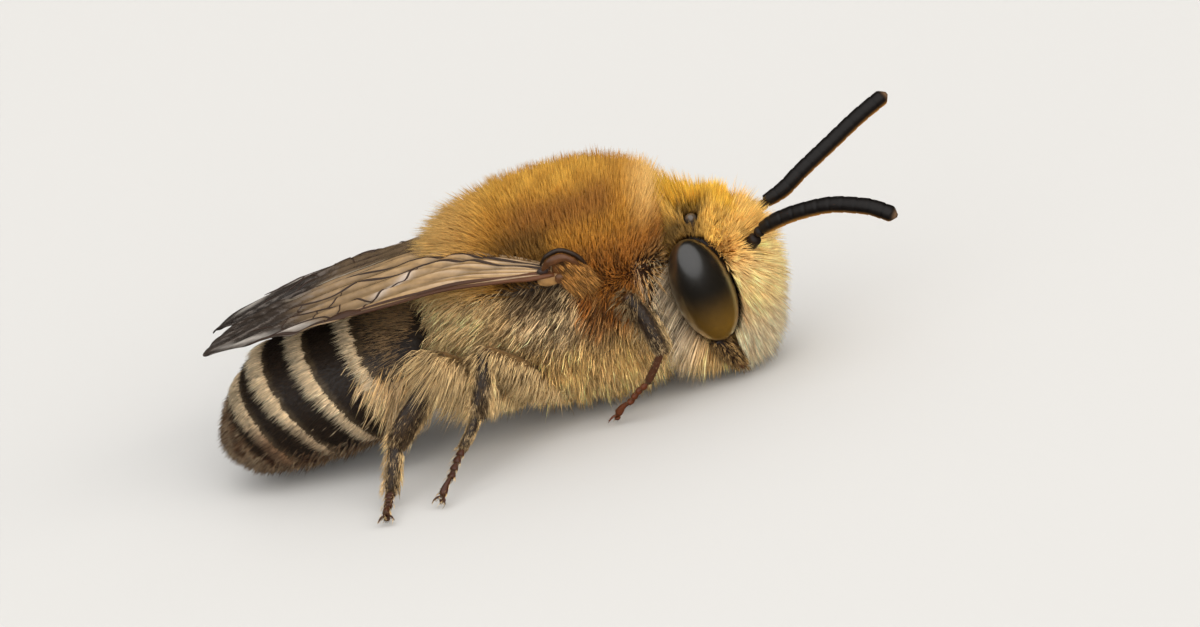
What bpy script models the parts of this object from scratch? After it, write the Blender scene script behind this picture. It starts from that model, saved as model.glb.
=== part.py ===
"""A male plasterer bee at rest, life size, as a still display model.

The bee faces +X, its left side is +Y and it stands on z = 0. Lengths below are millimetres
in the bee's own stance, measured from a point under the middle of the thorax; place() turns
them into metres about the origin under the middle of the whole bee. The solids of head,
thorax and abdomen reach to the tips of the coat.
"""

import math

import bmesh
import bpy
from mathutils import Matrix, Vector

MM = 0.001
MIDDLE_X = -0.57          # middle of the whole bee, feelers included, ahead of the thorax point
GAP = 0.03                # thin cut between neighbouring pieces
RING_POINTS = 20          # points round a body ring
SIDES = {"right": -1, "left": 1}

# ---------------------------------------------------------------- driving dimensions
THORAX_REAR, THORAX_FRONT = -2.76, 1.60
NECK_X = THORAX_FRONT + GAP
HEAD_LOW, HEAD_TOP = 0.20, 3.78
EYE_CENTRE = (2.13, 1.15, 2.00)
EYE_RADII = (0.55, 0.54, 1.06)      # fore-aft, sideways, up
EYE_LEAN = 9                         # degrees that the lower ends of the eyes draw together
EYE_PITCH = -5                       # degrees that the tops of the eyes lean back
OCELLUS_RADIUS = 0.12
FEELER_RADIUS = 0.25
WING_THICKNESS = 0.46
JOINT_RUN = 0.14                     # length over which a leg piece turns into its joint
FLOOR_SINK = 0.05                    # how much of each foot is taken off flat by the floor
HEEL_SHARE, HEEL_LIFT = 0.62, 0.05   # where along the foot its flat begins, and how high it lies there
LEG_RADII = {"femur": (0.30, 0.25), "tibia": (0.25, 0.29), "basitarsus": (0.24, 0.21), "foot": (0.20, 0.21)}

# Each leg of the right side: hip, knee, tibia end, basitarsus end and claw.
LEG_JOINTS = {
    "fore": (
        (1.05, -0.85, 0.95), (0.86, -1.75, 2.56), (1.22, -1.93, 1.36), (0.78, -1.84, 0.78),
        (-0.02, -1.52, 0.16),
    ),
    "mid": (
        (-0.95, -1.00, 0.75), (-1.80, -2.36, 2.42), (-2.17, -2.62, 1.28), (-2.60, -2.84, 0.76),
        (-3.12, -3.52, 0.16),
    ),
    "hind": (
        (-1.85, -0.95, 0.85), (-2.62, -2.32, 2.50), (-3.79, -2.64, 1.06), (-4.08, -2.96, 0.30),
        (-4.12, -3.74, 0.16),
    ),
}


# ---------------------------------------------------------------- scene and shared helpers
def clear_scene():
    for thing in list(bpy.data.objects):
        bpy.data.objects.remove(thing)


def new_collection(name):
    made = bpy.data.collections.new(name)
    bpy.context.scene.collection.children.link(made)
    return made


def material(name, colour, roughness, metallic=0.0):
    made = bpy.data.materials.new(name)
    made.use_nodes = True
    shader = made.node_tree.nodes["Principled BSDF"]
    shader.inputs["Base Color"].default_value = (*colour, 1)
    shader.inputs["Roughness"].default_value = roughness
    shader.inputs["Metallic"].default_value = metallic
    return made


def place(x, y, z):
    """A point of the bee's stance, in millimetres, as metres about the origin."""
    return Vector(((x - MIDDLE_X) * MM, y * MM, z * MM))


def smooth_between(keys, at):
    """The value at `at` on a smooth curve through keys = ((place, value), ...)."""
    places = [key[0] for key in keys]
    values = [key[1] for key in keys]
    if at <= places[0]:
        return values[0]
    if at >= places[-1]:
        return values[-1]
    i = next(n for n in range(len(places) - 1) if at <= places[n + 1])
    step = [(values[n + 1] - values[n]) / (places[n + 1] - places[n]) for n in range(len(places) - 1)]

    def slope(n):
        if n == 0 or n == len(step):
            return step[min(n, len(step) - 1)]
        before, after = step[n - 1], step[n]
        return 0.0 if before * after <= 0 else 2 * before * after / (before + after)

    width = places[i + 1] - places[i]
    t = (at - places[i]) / width
    rise = values[i + 1] - values[i]
    a = slope(i) * width - rise
    b = -slope(i + 1) * width + rise
    return values[i] + rise * t + t * (1 - t) * (a * (1 - t) + b * t)


def spaced(first, last, count):
    return [first + (last - first) * i / (count - 1) for i in range(count)]


def rounded(angle, fullness):
    """Cosine and sine of an angle, pushed outwards to a fuller oval as fullness passes 2."""
    c, s = math.cos(angle), math.sin(angle)
    power = 2 / fullness
    return math.copysign(abs(c) ** power, c), math.copysign(abs(s) ** power, s)


def link(thing, collection):
    collection.objects.link(thing)
    return thing


def loft(name, rings, collection, finish):
    """A closed solid through rings of equal point counts, in order, with a flat cap at each end."""
    bm = bmesh.new()
    rows = [[bm.verts.new(point) for point in ring] for ring in rings]
    count = len(rows[0])
    for lower, upper in zip(rows, rows[1:]):
        for i in range(count):
            j = (i + 1) % count
            bm.faces.new((lower[i], lower[j], upper[j], upper[i]))
    bm.faces.new(rows[0][::-1])
    bm.faces.new(rows[-1])
    bmesh.ops.recalc_face_normals(bm, faces=bm.faces)
    mesh = bpy.data.meshes.new(name)
    bm.to_mesh(mesh)
    bm.free()
    mesh.shade_smooth()
    mesh.set_sharp_from_angle(angle=math.radians(50))
    made = link(bpy.data.objects.new(name, mesh), collection)
    mesh.materials.append(finish)
    return made


def ball(name, centre, radii, turn, collection, finish, segments=20, rings=12):
    """An ellipsoid of the given half sizes in millimetres, turned by a rotation matrix."""
    bm = bmesh.new()
    bmesh.ops.create_uvsphere(bm, u_segments=segments, v_segments=rings, radius=1)
    shape = turn.to_4x4() @ Matrix.Diagonal((*[r * MM for r in radii], 1))
    bmesh.ops.transform(bm, matrix=shape, verts=bm.verts)
    mesh = bpy.data.meshes.new(name)
    bm.to_mesh(mesh)
    bm.free()
    mesh.shade_smooth()
    made = link(bpy.data.objects.new(name, mesh), collection)
    made.location = place(*centre)
    mesh.materials.append(finish)
    return made


def limb(name, points, radii, collection, finish, sides=2):
    """A tapered tube through points, as a mesh: a curve with a bevel, its caps welded on."""
    curve = bpy.data.curves.new(name, "CURVE")
    curve.dimensions = "3D"
    curve.bevel_depth = MM
    curve.bevel_resolution = sides
    curve.use_fill_caps = True
    spline = curve.splines.new("POLY")
    spline.points.add(len(points) - 1)
    for spot, where, radius in zip(spline.points, points, radii):
        spot.co = (*place(*where), 1)
        spot.radius = radius
    guide = link(bpy.data.objects.new(name + "_guide", curve), collection)
    graph = bpy.context.evaluated_depsgraph_get()
    mesh = bpy.data.meshes.new_from_object(guide.evaluated_get(graph))
    mesh.name = name
    bm = bmesh.new()
    bm.from_mesh(mesh)
    bmesh.ops.remove_doubles(bm, verts=bm.verts, dist=0.001 * MM)
    bmesh.ops.recalc_face_normals(bm, faces=bm.faces)
    bm.to_mesh(mesh)
    bm.free()
    mesh.shade_smooth()
    mesh.set_sharp_from_angle(angle=math.radians(50))
    made = link(bpy.data.objects.new(name, mesh), collection)
    made.matrix_world = guide.matrix_world
    mesh.materials.clear()
    mesh.materials.append(finish)
    bpy.data.objects.remove(guide)
    return made


def as_cutter(thing):
    thing.hide_render = True
    thing.display_type = "WIRE"
    return thing


def cut(thing, cutter):
    modifier = thing.modifiers.new("cut_by_" + cutter.name, "BOOLEAN")
    modifier.operation = "DIFFERENCE"
    modifier.solver = "EXACT"
    modifier.object = cutter


# ---------------------------------------------------------------- thorax
# Along the body: height of the back, height of the belly, half width, each against x.
THORAX_BACK = (
    (-2.76, 3.60), (-2.55, 4.00), (-2.20, 4.28), (-1.70, 4.44), (-0.90, 4.56), (0.10, 4.58), (0.90, 4.43),
    (1.35, 4.14), (1.60, 3.80),
)
THORAX_BELLY = (
    (-2.76, 1.55), (-2.20, 1.02), (-1.50, 0.46), (-0.80, 0.22), (0.30, 0.13), (1.10, 0.11), (1.60, 0.28),
)
THORAX_HALF_WIDTH = (
    (-2.76, 0.95), (-2.30, 1.50), (-1.50, 1.92), (-0.40, 2.08), (0.60, 1.98), (1.20, 1.66), (1.60, 1.22),
)
THORAX_WAIST_HEIGHT = 2.20     # height of the widest line
THORAX_FULLNESS = 2.25
THORAX_STATIONS = 20


def thorax_rings(grown=0.0):
    rings = []
    for x in spaced(THORAX_REAR - grown, THORAX_FRONT + grown, THORAX_STATIONS):
        back = smooth_between(THORAX_BACK, x) + grown
        belly = smooth_between(THORAX_BELLY, x) - grown
        half = smooth_between(THORAX_HALF_WIDTH, x) + grown
        ring = []
        for i in range(RING_POINTS):
            across, up = rounded(math.tau * i / RING_POINTS, THORAX_FULLNESS)
            reach = back - THORAX_WAIST_HEIGHT if up > 0 else THORAX_WAIST_HEIGHT - belly
            ring.append(place(x, half * across, THORAX_WAIST_HEIGHT + reach * up))
        rings.append(ring)
    return rings


# ---------------------------------------------------------------- abdomen
# Each row: a ring's highest point (x, z), its lowest point (x, z) and its half width.
ABDOMEN_RINGS = (
    (-2.79, 2.70, -2.79, 1.86, 0.50),
    (-3.02, 3.02, -2.83, 1.27, 1.10),
    (-3.42, 3.08, -2.96, 0.86, 1.45),
    (-3.92, 3.05, -3.18, 0.62, 1.64),
    (-4.54, 2.98, -3.50, 0.44, 1.74),
    (-5.52, 2.80, -4.25, 0.25, 1.74),
    (-6.34, 2.55, -5.05, 0.13, 1.62),
    (-6.87, 2.10, -5.90, 0.08, 1.38),
    (-7.15, 1.62, -6.62, 0.24, 1.00),
    (-7.30, 1.16, -7.06, 0.62, 0.52),
)
SEGMENT_ENDS = (0, 4, 5, 6, 7, 8, 9)     # rings at which one abdomen segment passes to the next
SEGMENT_LIP = 0.05                       # how far a segment's rear edge stands proud of the next
SEGMENT_STATIONS = 4
ABDOMEN_FULLNESS = 2.3
ABDOMEN_COLOURS = (
    (0.22, 0.17, 0.11), (0.10, 0.08, 0.06), (0.11, 0.085, 0.06), (0.12, 0.09, 0.065), (0.14, 0.09, 0.06),
    (0.16, 0.08, 0.04),
)


def abdomen_ring(at, grown=0.0):
    """The ring at a fractional row number of ABDOMEN_RINGS."""
    columns = [smooth_between([(n, row[k]) for n, row in enumerate(ABDOMEN_RINGS)], at) for k in range(5)]
    top_x, top_z, low_x, low_z, half_width = columns
    height = math.hypot(top_x - low_x, top_z - low_z) / 2
    reach = (height + grown) / height / 2
    ring = []
    for i in range(RING_POINTS):
        across, up = rounded(math.tau * i / RING_POINTS, ABDOMEN_FULLNESS)
        x = (top_x + low_x) / 2 + (top_x - low_x) * reach * up
        z = (top_z + low_z) / 2 + (top_z - low_z) * reach * up
        ring.append(place(x, (half_width + grown) * across, z))
    return ring


def make_abdomen(body, shells):
    for number, (first, last) in enumerate(zip(SEGMENT_ENDS, SEGMENT_ENDS[1:]), start=1):
        start, end = ABDOMEN_RINGS[first], ABDOMEN_RINGS[last]
        length = min(start[0] - end[0], start[2] - end[2])
        inset = GAP / length * (last - first) if number > 1 else 0
        stations = SEGMENT_STATIONS * (3 if number == 1 else 1)
        places = spaced(first + inset, last, stations + 1)
        rings = [abdomen_ring(at, SEGMENT_LIP * (i / stations) ** 2) for i, at in enumerate(places)]
        loft(f"abdomen_{number}", rings, body, shells[number])


# ---------------------------------------------------------------- head
# Up the head: how far forward the face's coat reaches, and its half width, each against z.
FACE_REACH = (
    (0.20, 2.60), (0.45, 2.96), (0.90, 3.28), (1.40, 3.44), (2.00, 3.47), (2.60, 3.40), (3.05, 3.18),
    (3.40, 2.88), (3.78, 2.34),
)
HEAD_HALF_WIDTH = (
    (0.20, 0.45), (0.45, 0.72), (0.90, 1.02), (1.50, 1.27), (2.10, 1.42), (2.70, 1.45), (3.10, 1.30),
    (3.45, 1.00), (3.78, 0.60),
)
HEAD_FULLNESS = 2.3
HEAD_STATIONS = 18
EYE_SEGMENTS = 20
OCELLI = {"front": (2.48, 0.0, 3.05), "right": (2.16, -0.42, 3.10), "left": (2.16, 0.42, 3.10)}
OCELLUS_FACES = {"front": (0.70, 0.0, 0.75), "right": (0.15, -0.75, 0.62), "left": (0.15, 0.75, 0.62)}
OCELLUS_PIT = (0.30, 0.30, 0.55)       # half sizes of the parting in the coat before each ocellus


def head_rings():
    """Rings from the jaw up, flat at the back and full at the front."""
    rings = []
    for z in spaced(HEAD_LOW, HEAD_TOP, HEAD_STATIONS):
        front = smooth_between(FACE_REACH, z)
        half = smooth_between(HEAD_HALF_WIDTH, z)
        middle = NECK_X + 0.42 * (front - NECK_X)
        ring = []
        for i in range(RING_POINTS):
            forward, across = rounded(math.tau * i / RING_POINTS, HEAD_FULLNESS)
            reach = front - middle if forward > 0 else middle - NECK_X
            ring.append(place(middle + reach * forward, half * across, z))
        rings.append(ring)
    return rings


def make_eye(name, side, grown, collection, finish):
    lean = Matrix.Rotation(math.radians(-side * EYE_LEAN), 3, "X")
    turn = lean @ Matrix.Rotation(math.radians(EYE_PITCH), 3, "Y")
    centre = (EYE_CENTRE[0], side * EYE_CENTRE[1], EYE_CENTRE[2])
    radii = [r + grown for r in EYE_RADII]
    return ball(name, centre, radii, turn, collection, finish, EYE_SEGMENTS, EYE_SEGMENTS * 3 // 5)


def make_head(body, cutters, fur, eye_black, glass):
    head = loft("head", head_rings(), body, fur)
    for side_name, side in SIDES.items():
        make_eye("eye_" + side_name, side, 0.0, body, eye_black)
        cut(head, as_cutter(make_eye("socket_" + side_name, side, GAP, cutters, eye_black)))
    for name, centre in OCELLI.items():
        ball("ocellus_" + name, centre, (OCELLUS_RADIUS,) * 3, Matrix.Identity(3), body, glass, 12, 8)
        faces = Vector(OCELLUS_FACES[name]).normalized()
        turn = faces.to_track_quat("Z", "Y").to_matrix()
        depth = OCELLUS_PIT[2] - OCELLUS_RADIUS - 2 * GAP
        middle = [c + d * depth for c, d in zip(centre, faces)]
        cut(head, as_cutter(ball("pit_" + name, middle, OCELLUS_PIT, turn, cutters, glass, 12, 8)))
    return head


# ---------------------------------------------------------------- jaws and feelers
JAW = ((2.02, -0.92, 0.98), (2.24, -0.84, 0.58), (2.36, -0.62, 0.32), (2.26, -0.24, 0.20))
JAW_RADII = (0.20, 0.22, 0.18, 0.12)
SCAPE = ((2.74, -0.48, 2.16), (3.02, -0.56, 2.36), (3.30, -0.65, 2.62))
FLAGELLUM = {
    "right": (
        (3.55, -0.72, 2.80), (4.16, -0.90, 2.93), (4.74, -1.10, 2.99), (5.37, -1.35, 2.91),
        (5.93, -1.52, 2.64),
    ),
    "left": (
        (3.62, 0.74, 2.72), (4.12, 0.90, 3.00), (4.77, 1.10, 3.34), (5.41, 1.30, 3.66),
        (5.99, 1.47, 3.93),
    ),
}


def mirrored(points, side):
    """Points given for the right side, on the side asked for."""
    return [(x, -side * y, z) for x, y, z in points]


def make_jaws_and_feelers(body, cutters, head, horn, feeler):
    for side_name, side in SIDES.items():
        jaw = mirrored(JAW, side)
        limb("mandible_" + side_name, jaw, JAW_RADII, body, horn)
        wide = [radius + GAP for radius in JAW_RADII]
        cut(head, as_cutter(limb("jaw_bed_" + side_name, lengthened(jaw, GAP), wide, cutters, horn)))
        scape = mirrored(SCAPE, side)
        lash = FLAGELLUM[side_name]
        elbow = turning(scape[-2], scape[-1], lash[0])
        scape[-1] = shifted(scape[-1], elbow, -GAP / 2)
        lash = [shifted(mirrored(SCAPE, side)[-1], elbow, GAP / 2), *lash]
        limb("scape_" + side_name, scape, [FEELER_RADIUS] * len(scape), body, feeler)
        limb("flagellum_" + side_name, lash, [FEELER_RADIUS] * len(lash), body, feeler)
        bed = [*lengthened(scape, GAP)[:-1], shifted(scape[-1], elbow, GAP), *lash[1:3]]
        bed_radii = [FEELER_RADIUS + GAP] * len(bed)
        cut(head, as_cutter(limb("feeler_bed_" + side_name, bed, bed_radii, cutters, feeler)))


# ---------------------------------------------------------------- legs
def shifted(point, direction, distance):
    return tuple(p + d * distance for p, d in zip(point, direction))


def turning(before, at, after):
    """The direction half way through the turn at a joint."""
    arriving = (Vector(at) - Vector(before)).normalized()
    leaving = (Vector(after) - Vector(at)).normalized()
    return (arriving + leaving).normalized()


def lengthened(points, by):
    """The same run of points, with each end carried on by a little."""
    first = (Vector(points[0]) - Vector(points[1])).normalized()
    last = (Vector(points[-1]) - Vector(points[-2])).normalized()
    return [shifted(points[0], first, by), *points[1:-1], shifted(points[-1], last, by)]


def leg_runs(joints):
    """The points of each piece of a leg, parted by the gap at every joint beyond the knee."""
    hip, knee, *lower = joints
    runs = [[hip, knee]]
    start = [knee]
    for before, at, after in zip(joints[1:], lower, lower[1:]):
        turn = turning(before, at, after)
        runs.append([*start, shifted(at, turn, -JOINT_RUN), shifted(at, turn, -GAP / 2)])
        start = [shifted(at, turn, GAP / 2), shifted(at, turn, JOINT_RUN)]
    foot_start, claw = Vector(start[-1]), Vector(joints[-1])
    sole = LEG_RADII["foot"][1] - FLOOR_SINK
    heel = foot_start.lerp(claw, HEEL_SHARE)
    runs.append([*start, (heel.x, heel.y, sole + HEEL_LIFT), (claw.x, claw.y, sole)])
    return dict(zip(LEG_RADII, runs))


def make_legs(body, cutters, thorax, floor, finishes):
    for pair, joints in LEG_JOINTS.items():
        for side_name, side in SIDES.items():
            made = {}
            for piece, run in leg_runs(mirrored(joints, side)).items():
                radii = spaced(*LEG_RADII[piece], len(run))
                made[piece] = limb(f"{pair}_{piece}_{side_name}", run, radii, body, finishes[piece])
                if piece in ("femur", "tibia"):
                    wide = [radius + GAP for radius in radii]
                    bed_name = f"{pair}_{piece}_bed_{side_name}"
                    bed = as_cutter(limb(bed_name, lengthened(run, GAP), wide, cutters, finishes[piece]))
                    if piece == "tibia":
                        cut(made["femur"], bed)
                    if piece == "femur" or pair == "fore":
                        cut(thorax, bed)
            cut(made["foot"], floor)


# ---------------------------------------------------------------- wings
# Against x: the outer (front) edge, the line where forewing and hindwing meet, the inner edge, as y of the
# left wing, and the height of the upper face at the middle line and at the outer edge. The left wing has
# settled lower against the abdomen: WING_SETTLE is how far its outer edge lies below the right one's.
WING_OUTER = (
    (-7.05, 0.98), (-6.95, 1.22), (-6.55, 1.55), (-5.80, 1.82), (-5.00, 2.00), (-3.80, 2.13), (-2.30, 2.18),
    (-0.28, 2.14),
)
WING_MEETING = ((-5.60, 0.06), (-5.30, 0.34), (-4.90, 0.70), (-4.30, 0.88), (-3.40, 0.90), (-2.40, 0.86))
WING_INNER = ((-7.05, 0.62), (-6.95, 0.40), (-6.60, 0.12), (-6.20, 0.03))
WING_RIDGE = (
    (-7.05, 2.98), (-6.36, 3.12), (-5.50, 3.33), (-4.50, 3.53), (-3.50, 3.63), (-2.60, 3.68), (-0.28, 3.60),
)
WING_BROW = (
    (-7.05, 2.95), (-6.00, 3.10), (-5.00, 3.24), (-3.80, 3.33), (-2.30, 3.36), (-1.30, 3.30), (-0.28, 3.22),
)
WING_SETTLE = ((-7.05, 0.26), (-5.80, 0.30), (-4.30, 0.32), (-2.30, 0.20), (-0.90, 0.0))
WING_STATIONS = 26
FOREWING_BASE, HINDWING_BASE, HINDWING_TIP = -0.28, -2.50, -5.50


def wing_ring(x, inner, outer, side):
    """A thin six-cornered section of a wing, from its inner to its outer edge."""
    widest = smooth_between(WING_OUTER, x)
    brow = smooth_between(WING_BROW, x) - (smooth_between(WING_SETTLE, x) if side > 0 else 0)
    upper, lower = [], []
    for share in (0.0, 0.5, 1.0):
        y = inner + (outer - inner) * share
        slope = (y / widest) ** 1.5
        z = smooth_between(WING_RIDGE, x) * (1 - slope) + brow * slope
        upper.append(place(x, side * y, z))
        lower.append(place(x, side * y, z - WING_THICKNESS))
    return upper + lower[::-1]


def make_wings(body, thorax_bed, membrane):
    for side_name, side in SIDES.items():
        fore = []
        for x in spaced(WING_OUTER[0][0], FOREWING_BASE, WING_STATIONS):
            meeting = max(smooth_between(WING_MEETING, x), smooth_between(WING_INNER, x)) + GAP / 2
            fore.append(wing_ring(x, meeting, smooth_between(WING_OUTER, x), side))
        hind = []
        for x in spaced(HINDWING_TIP, HINDWING_BASE, WING_STATIONS // 2):
            hind.append(wing_ring(x, GAP, smooth_between(WING_MEETING, x) - GAP / 2, side))
        for name, rings in (("forewing", fore), ("hindwing", hind)):
            cut(loft(f"{name}_{side_name}", rings, body, membrane), thorax_bed)


# ---------------------------------------------------------------- wing root caps
TEGULA_CENTRE = (0.08, 1.84, 3.36)
TEGULA_RADII = (0.32, 0.24, 0.26)


def make_tegulae(body, cutters, thorax, horn):
    for side_name, side in SIDES.items():
        centre = (TEGULA_CENTRE[0], side * TEGULA_CENTRE[1], TEGULA_CENTRE[2])
        turn = Matrix.Rotation(math.radians(side * 35), 3, "X")
        ball("tegula_" + side_name, centre, TEGULA_RADII, turn, body, horn, 16, 8)
        wide = [radius + GAP for radius in TEGULA_RADII]
        bed = ball("tegula_bed_" + side_name, centre, wide, turn, cutters, horn, 16, 8)
        cut(thorax, as_cutter(bed))


# ---------------------------------------------------------------- build
def make_floor(cutters, finish):
    """The block below z = 0 that takes the flats off the feet."""
    bm = bmesh.new()
    bmesh.ops.create_cube(bm, size=1)
    bmesh.ops.transform(bm, matrix=Matrix.Diagonal((20 * MM, 20 * MM, MM, 1)), verts=bm.verts)
    mesh = bpy.data.meshes.new("floor")
    bm.to_mesh(mesh)
    bm.free()
    mesh.materials.append(finish)
    made = link(bpy.data.objects.new("floor", mesh), cutters)
    made.location = (0, 0, -MM / 2)
    return as_cutter(made)


def main():
    clear_scene()
    body = new_collection("plasterer_bee")
    cutters = new_collection("cutters")
    golden = material("golden_fur", (0.50, 0.27, 0.07), 0.8)
    cream = material("cream_fur", (0.72, 0.58, 0.36), 0.8)
    black = material("eye_black", (0.012, 0.011, 0.010), 0.15)
    glass = material("ocellus_glass", (0.03, 0.025, 0.02), 0.1)
    horn = material("dark_horn", (0.035, 0.020, 0.012), 0.35)
    feeler = material("feeler_black", (0.030, 0.022, 0.018), 0.45)
    membrane = material("wing_membrane", (0.30, 0.22, 0.15), 0.3)
    shells = {n: material(f"shell_{n}", colour, 0.6) for n, colour in enumerate(ABDOMEN_COLOURS, start=1)}
    legs = {
        "femur": material("femur_brown", (0.055, 0.035, 0.022), 0.5),
        "tibia": material("tibia_brown", (0.075, 0.045, 0.027), 0.5),
        "basitarsus": material("basitarsus_brown", (0.16, 0.075, 0.035), 0.5),
        "foot": material("foot_russet", (0.22, 0.095, 0.04), 0.5),
    }
    thorax = loft("thorax", thorax_rings(), body, golden)
    thorax_bed = as_cutter(loft("thorax_bed", thorax_rings(GAP), cutters, golden))
    make_abdomen(body, shells)
    head = make_head(body, cutters, cream, black, glass)
    make_jaws_and_feelers(body, cutters, head, horn, feeler)
    make_wings(body, thorax_bed, membrane)
    make_tegulae(body, cutters, thorax, horn)
    make_legs(body, cutters, thorax, make_floor(cutters, horn), legs)


main()
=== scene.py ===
"""A male plasterer bee at rest: skin, coat, eyes, feelers, wings and legs over its solids.

Lengths inside the sections are millimetres in the bee's own stance: x runs forward from under
the middle of the thorax, y to its left and z up from the floor. in_frame() turns them into the
frame's metres.
"""
import math

import bmesh
import bpy
import numpy as np
from mathutils import Matrix, Vector


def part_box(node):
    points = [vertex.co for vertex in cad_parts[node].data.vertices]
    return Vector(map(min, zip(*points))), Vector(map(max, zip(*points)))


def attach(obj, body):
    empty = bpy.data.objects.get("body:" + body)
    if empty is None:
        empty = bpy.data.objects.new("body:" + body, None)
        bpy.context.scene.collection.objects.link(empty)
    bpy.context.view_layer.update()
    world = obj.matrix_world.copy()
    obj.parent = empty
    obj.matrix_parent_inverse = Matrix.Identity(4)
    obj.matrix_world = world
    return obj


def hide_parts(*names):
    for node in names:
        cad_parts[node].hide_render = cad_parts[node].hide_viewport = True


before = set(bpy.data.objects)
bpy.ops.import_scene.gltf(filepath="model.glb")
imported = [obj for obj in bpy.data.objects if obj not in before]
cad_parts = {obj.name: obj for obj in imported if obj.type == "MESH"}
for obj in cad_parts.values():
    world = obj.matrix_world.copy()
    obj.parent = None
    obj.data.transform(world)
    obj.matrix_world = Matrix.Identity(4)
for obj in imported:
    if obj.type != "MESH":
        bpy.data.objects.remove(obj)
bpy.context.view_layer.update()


# ------------------------------------------------------------------ skin
# The bee's outer shell: head capsule, thorax and waist in one piece with the six plates of the
# abdomen, each plate's rear edge lapping over the next. It is dark, pitted horn, one closed
# shell here, and the coat stands on it.
MM = 0.001
THORAX_FRONT = 1.60             # where the front of the thorax coat lies in the stance
# the stance's middle along the frame's x, in millimetres
STANCE_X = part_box("thorax")[1][0] / MM - THORAX_FRONT
SIDES = {"right": -1, "left": 1}
SKIN_VOXEL = 0.05               # grain of the grid that makes the parts of the skin one shell
NECK = ((1.30, 0.0, 2.05), (1.95, 0.0, 2.05), 0.60)
WAIST = ((-2.30, 0.0, 2.30), (-3.05, 0.0, 2.20), 0.42)
THORAX_FULLNESS, HEAD_FULLNESS, ABDOMEN_FULLNESS = 2.15, 2.25, 2.2     # 2 is a plain ellipse
THORAX_WIDEST = 2.25            # height of the thorax's widest line
HEAD_WIDEST = 0.42              # where the head is widest, as a share of the way from nape to face

# x, back, belly, half width of the thorax shell
THORAX_RINGS = (
    (-2.52, 2.85, 1.80, 0.42), (-2.38, 3.28, 1.55, 0.82), (-2.05, 3.72, 1.22, 1.18),
    (-1.60, 3.98, 0.98, 1.42), (-0.90, 4.13, 0.76, 1.60), (0.00, 4.17, 0.68, 1.65),
    (0.70, 4.06, 0.72, 1.54), (1.10, 3.82, 0.90, 1.34), (1.36, 3.45, 1.22, 1.02),
    (1.48, 3.05, 1.60, 0.62),
)
# z, face, nape, half width of the head capsule
HEAD_RINGS = (
    (0.42, 2.34, 2.06, 0.20), (0.52, 2.52, 1.95, 0.42), (0.80, 2.76, 1.80, 0.74),
    (1.20, 2.92, 1.72, 0.96), (1.80, 3.00, 1.68, 1.12), (2.40, 2.95, 1.68, 1.22),
    (2.75, 2.83, 1.70, 1.18), (2.95, 2.66, 1.78, 1.00), (3.06, 2.46, 1.90, 0.70),
    (3.10, 2.30, 2.00, 0.40),
)
# highest point (x, z), lowest point (x, z), half width and depth of coat on the abdomen's rings
ABDOMEN_RINGS = (
    (-2.79, 2.70, -2.79, 1.86, 0.50, 0.12), (-3.02, 3.02, -2.83, 1.27, 1.10, 0.30),
    (-3.42, 3.08, -2.96, 0.86, 1.45, 0.32), (-3.92, 3.05, -3.18, 0.62, 1.64, 0.28),
    (-4.54, 2.98, -3.50, 0.44, 1.74, 0.22), (-5.52, 2.80, -4.25, 0.25, 1.74, 0.18),
    (-6.34, 2.55, -5.05, 0.13, 1.62, 0.17), (-6.87, 2.10, -5.90, 0.08, 1.38, 0.15),
    (-7.15, 1.62, -6.62, 0.24, 1.00, 0.14), (-7.30, 1.16, -7.06, 0.62, 0.52, 0.12),
)
PLATE_ENDS = (0, 4, 5, 6, 7, 8, 9)     # numbers of the rings where one plate ends and the next begins
PLATE_LAP = 0.055               # step from a plate's rear edge down to the next plate
PLATE_LIP = 0.04                # how far before its end a plate's edge begins to fall


def in_frame(points):
    return (np.asarray(points, float) + (STANCE_X, 0, 0)) * MM


def along(keys, at):
    """Values on a smooth curve through rows of (place, value, ...), at any places."""
    keys = np.asarray(keys, float)
    order = np.argsort(keys[:, 0])
    x, values = keys[order, 0], keys[order, 1:]
    step = np.diff(values, axis=0) / np.diff(x)[:, None]
    slope = np.zeros_like(values)
    slope[0], slope[-1] = step[0], step[-1]
    product = step[:-1] * step[1:]
    mean = 2 * product / np.where(step[:-1] + step[1:] == 0, 1, step[:-1] + step[1:])
    slope[1:-1] = np.where(product > 0, mean, 0)
    at = np.clip(np.atleast_1d(np.asarray(at, float)), x[0], x[-1])
    i = np.clip(np.searchsorted(x, at, side="right") - 1, 0, len(x) - 2)
    width = (x[i + 1] - x[i])[:, None]
    t = ((at - x[i])[:, None]) / width
    rise = values[i + 1] - values[i]
    a = slope[i] * width - rise
    b = rise - slope[i + 1] * width
    return values[i] + rise * t + t * (1 - t) * (a * (1 - t) + b * t)


def oval(count, fullness=2.0):
    """Cosines and sines round a ring, pushed out to a fuller oval as fullness passes 2."""
    angle = np.linspace(0, math.tau, count, endpoint=False)
    c, s = np.cos(angle), np.sin(angle)
    return np.sign(c) * np.abs(c) ** (2 / fullness), np.sign(s) * np.abs(s) ** (2 / fullness)


def ring_faces(rows, count, first=0):
    """Quads between rows of a tube, and a fan's polygon on each end."""
    r = np.arange(rows - 1)[:, None] * count
    i = np.arange(count)[None, :]
    j = (i + 1) % count
    quads = np.stack([r + i, r + j, r + j + count, r + i + count], -1).reshape(-1, 4) + first
    start_cap = list(range(first + count - 1, first - 1, -1))
    end_cap = list(range(first + (rows - 1) * count, first + rows * count))
    return [list(q) for q in quads] + [start_cap, end_cap]


def face_outward(mesh):
    """Turns every face of a closed mesh outward."""
    bm = bmesh.new()
    bm.from_mesh(mesh)
    bmesh.ops.recalc_face_normals(bm, faces=bm.faces)
    bm.to_mesh(mesh)
    bm.free()


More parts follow.
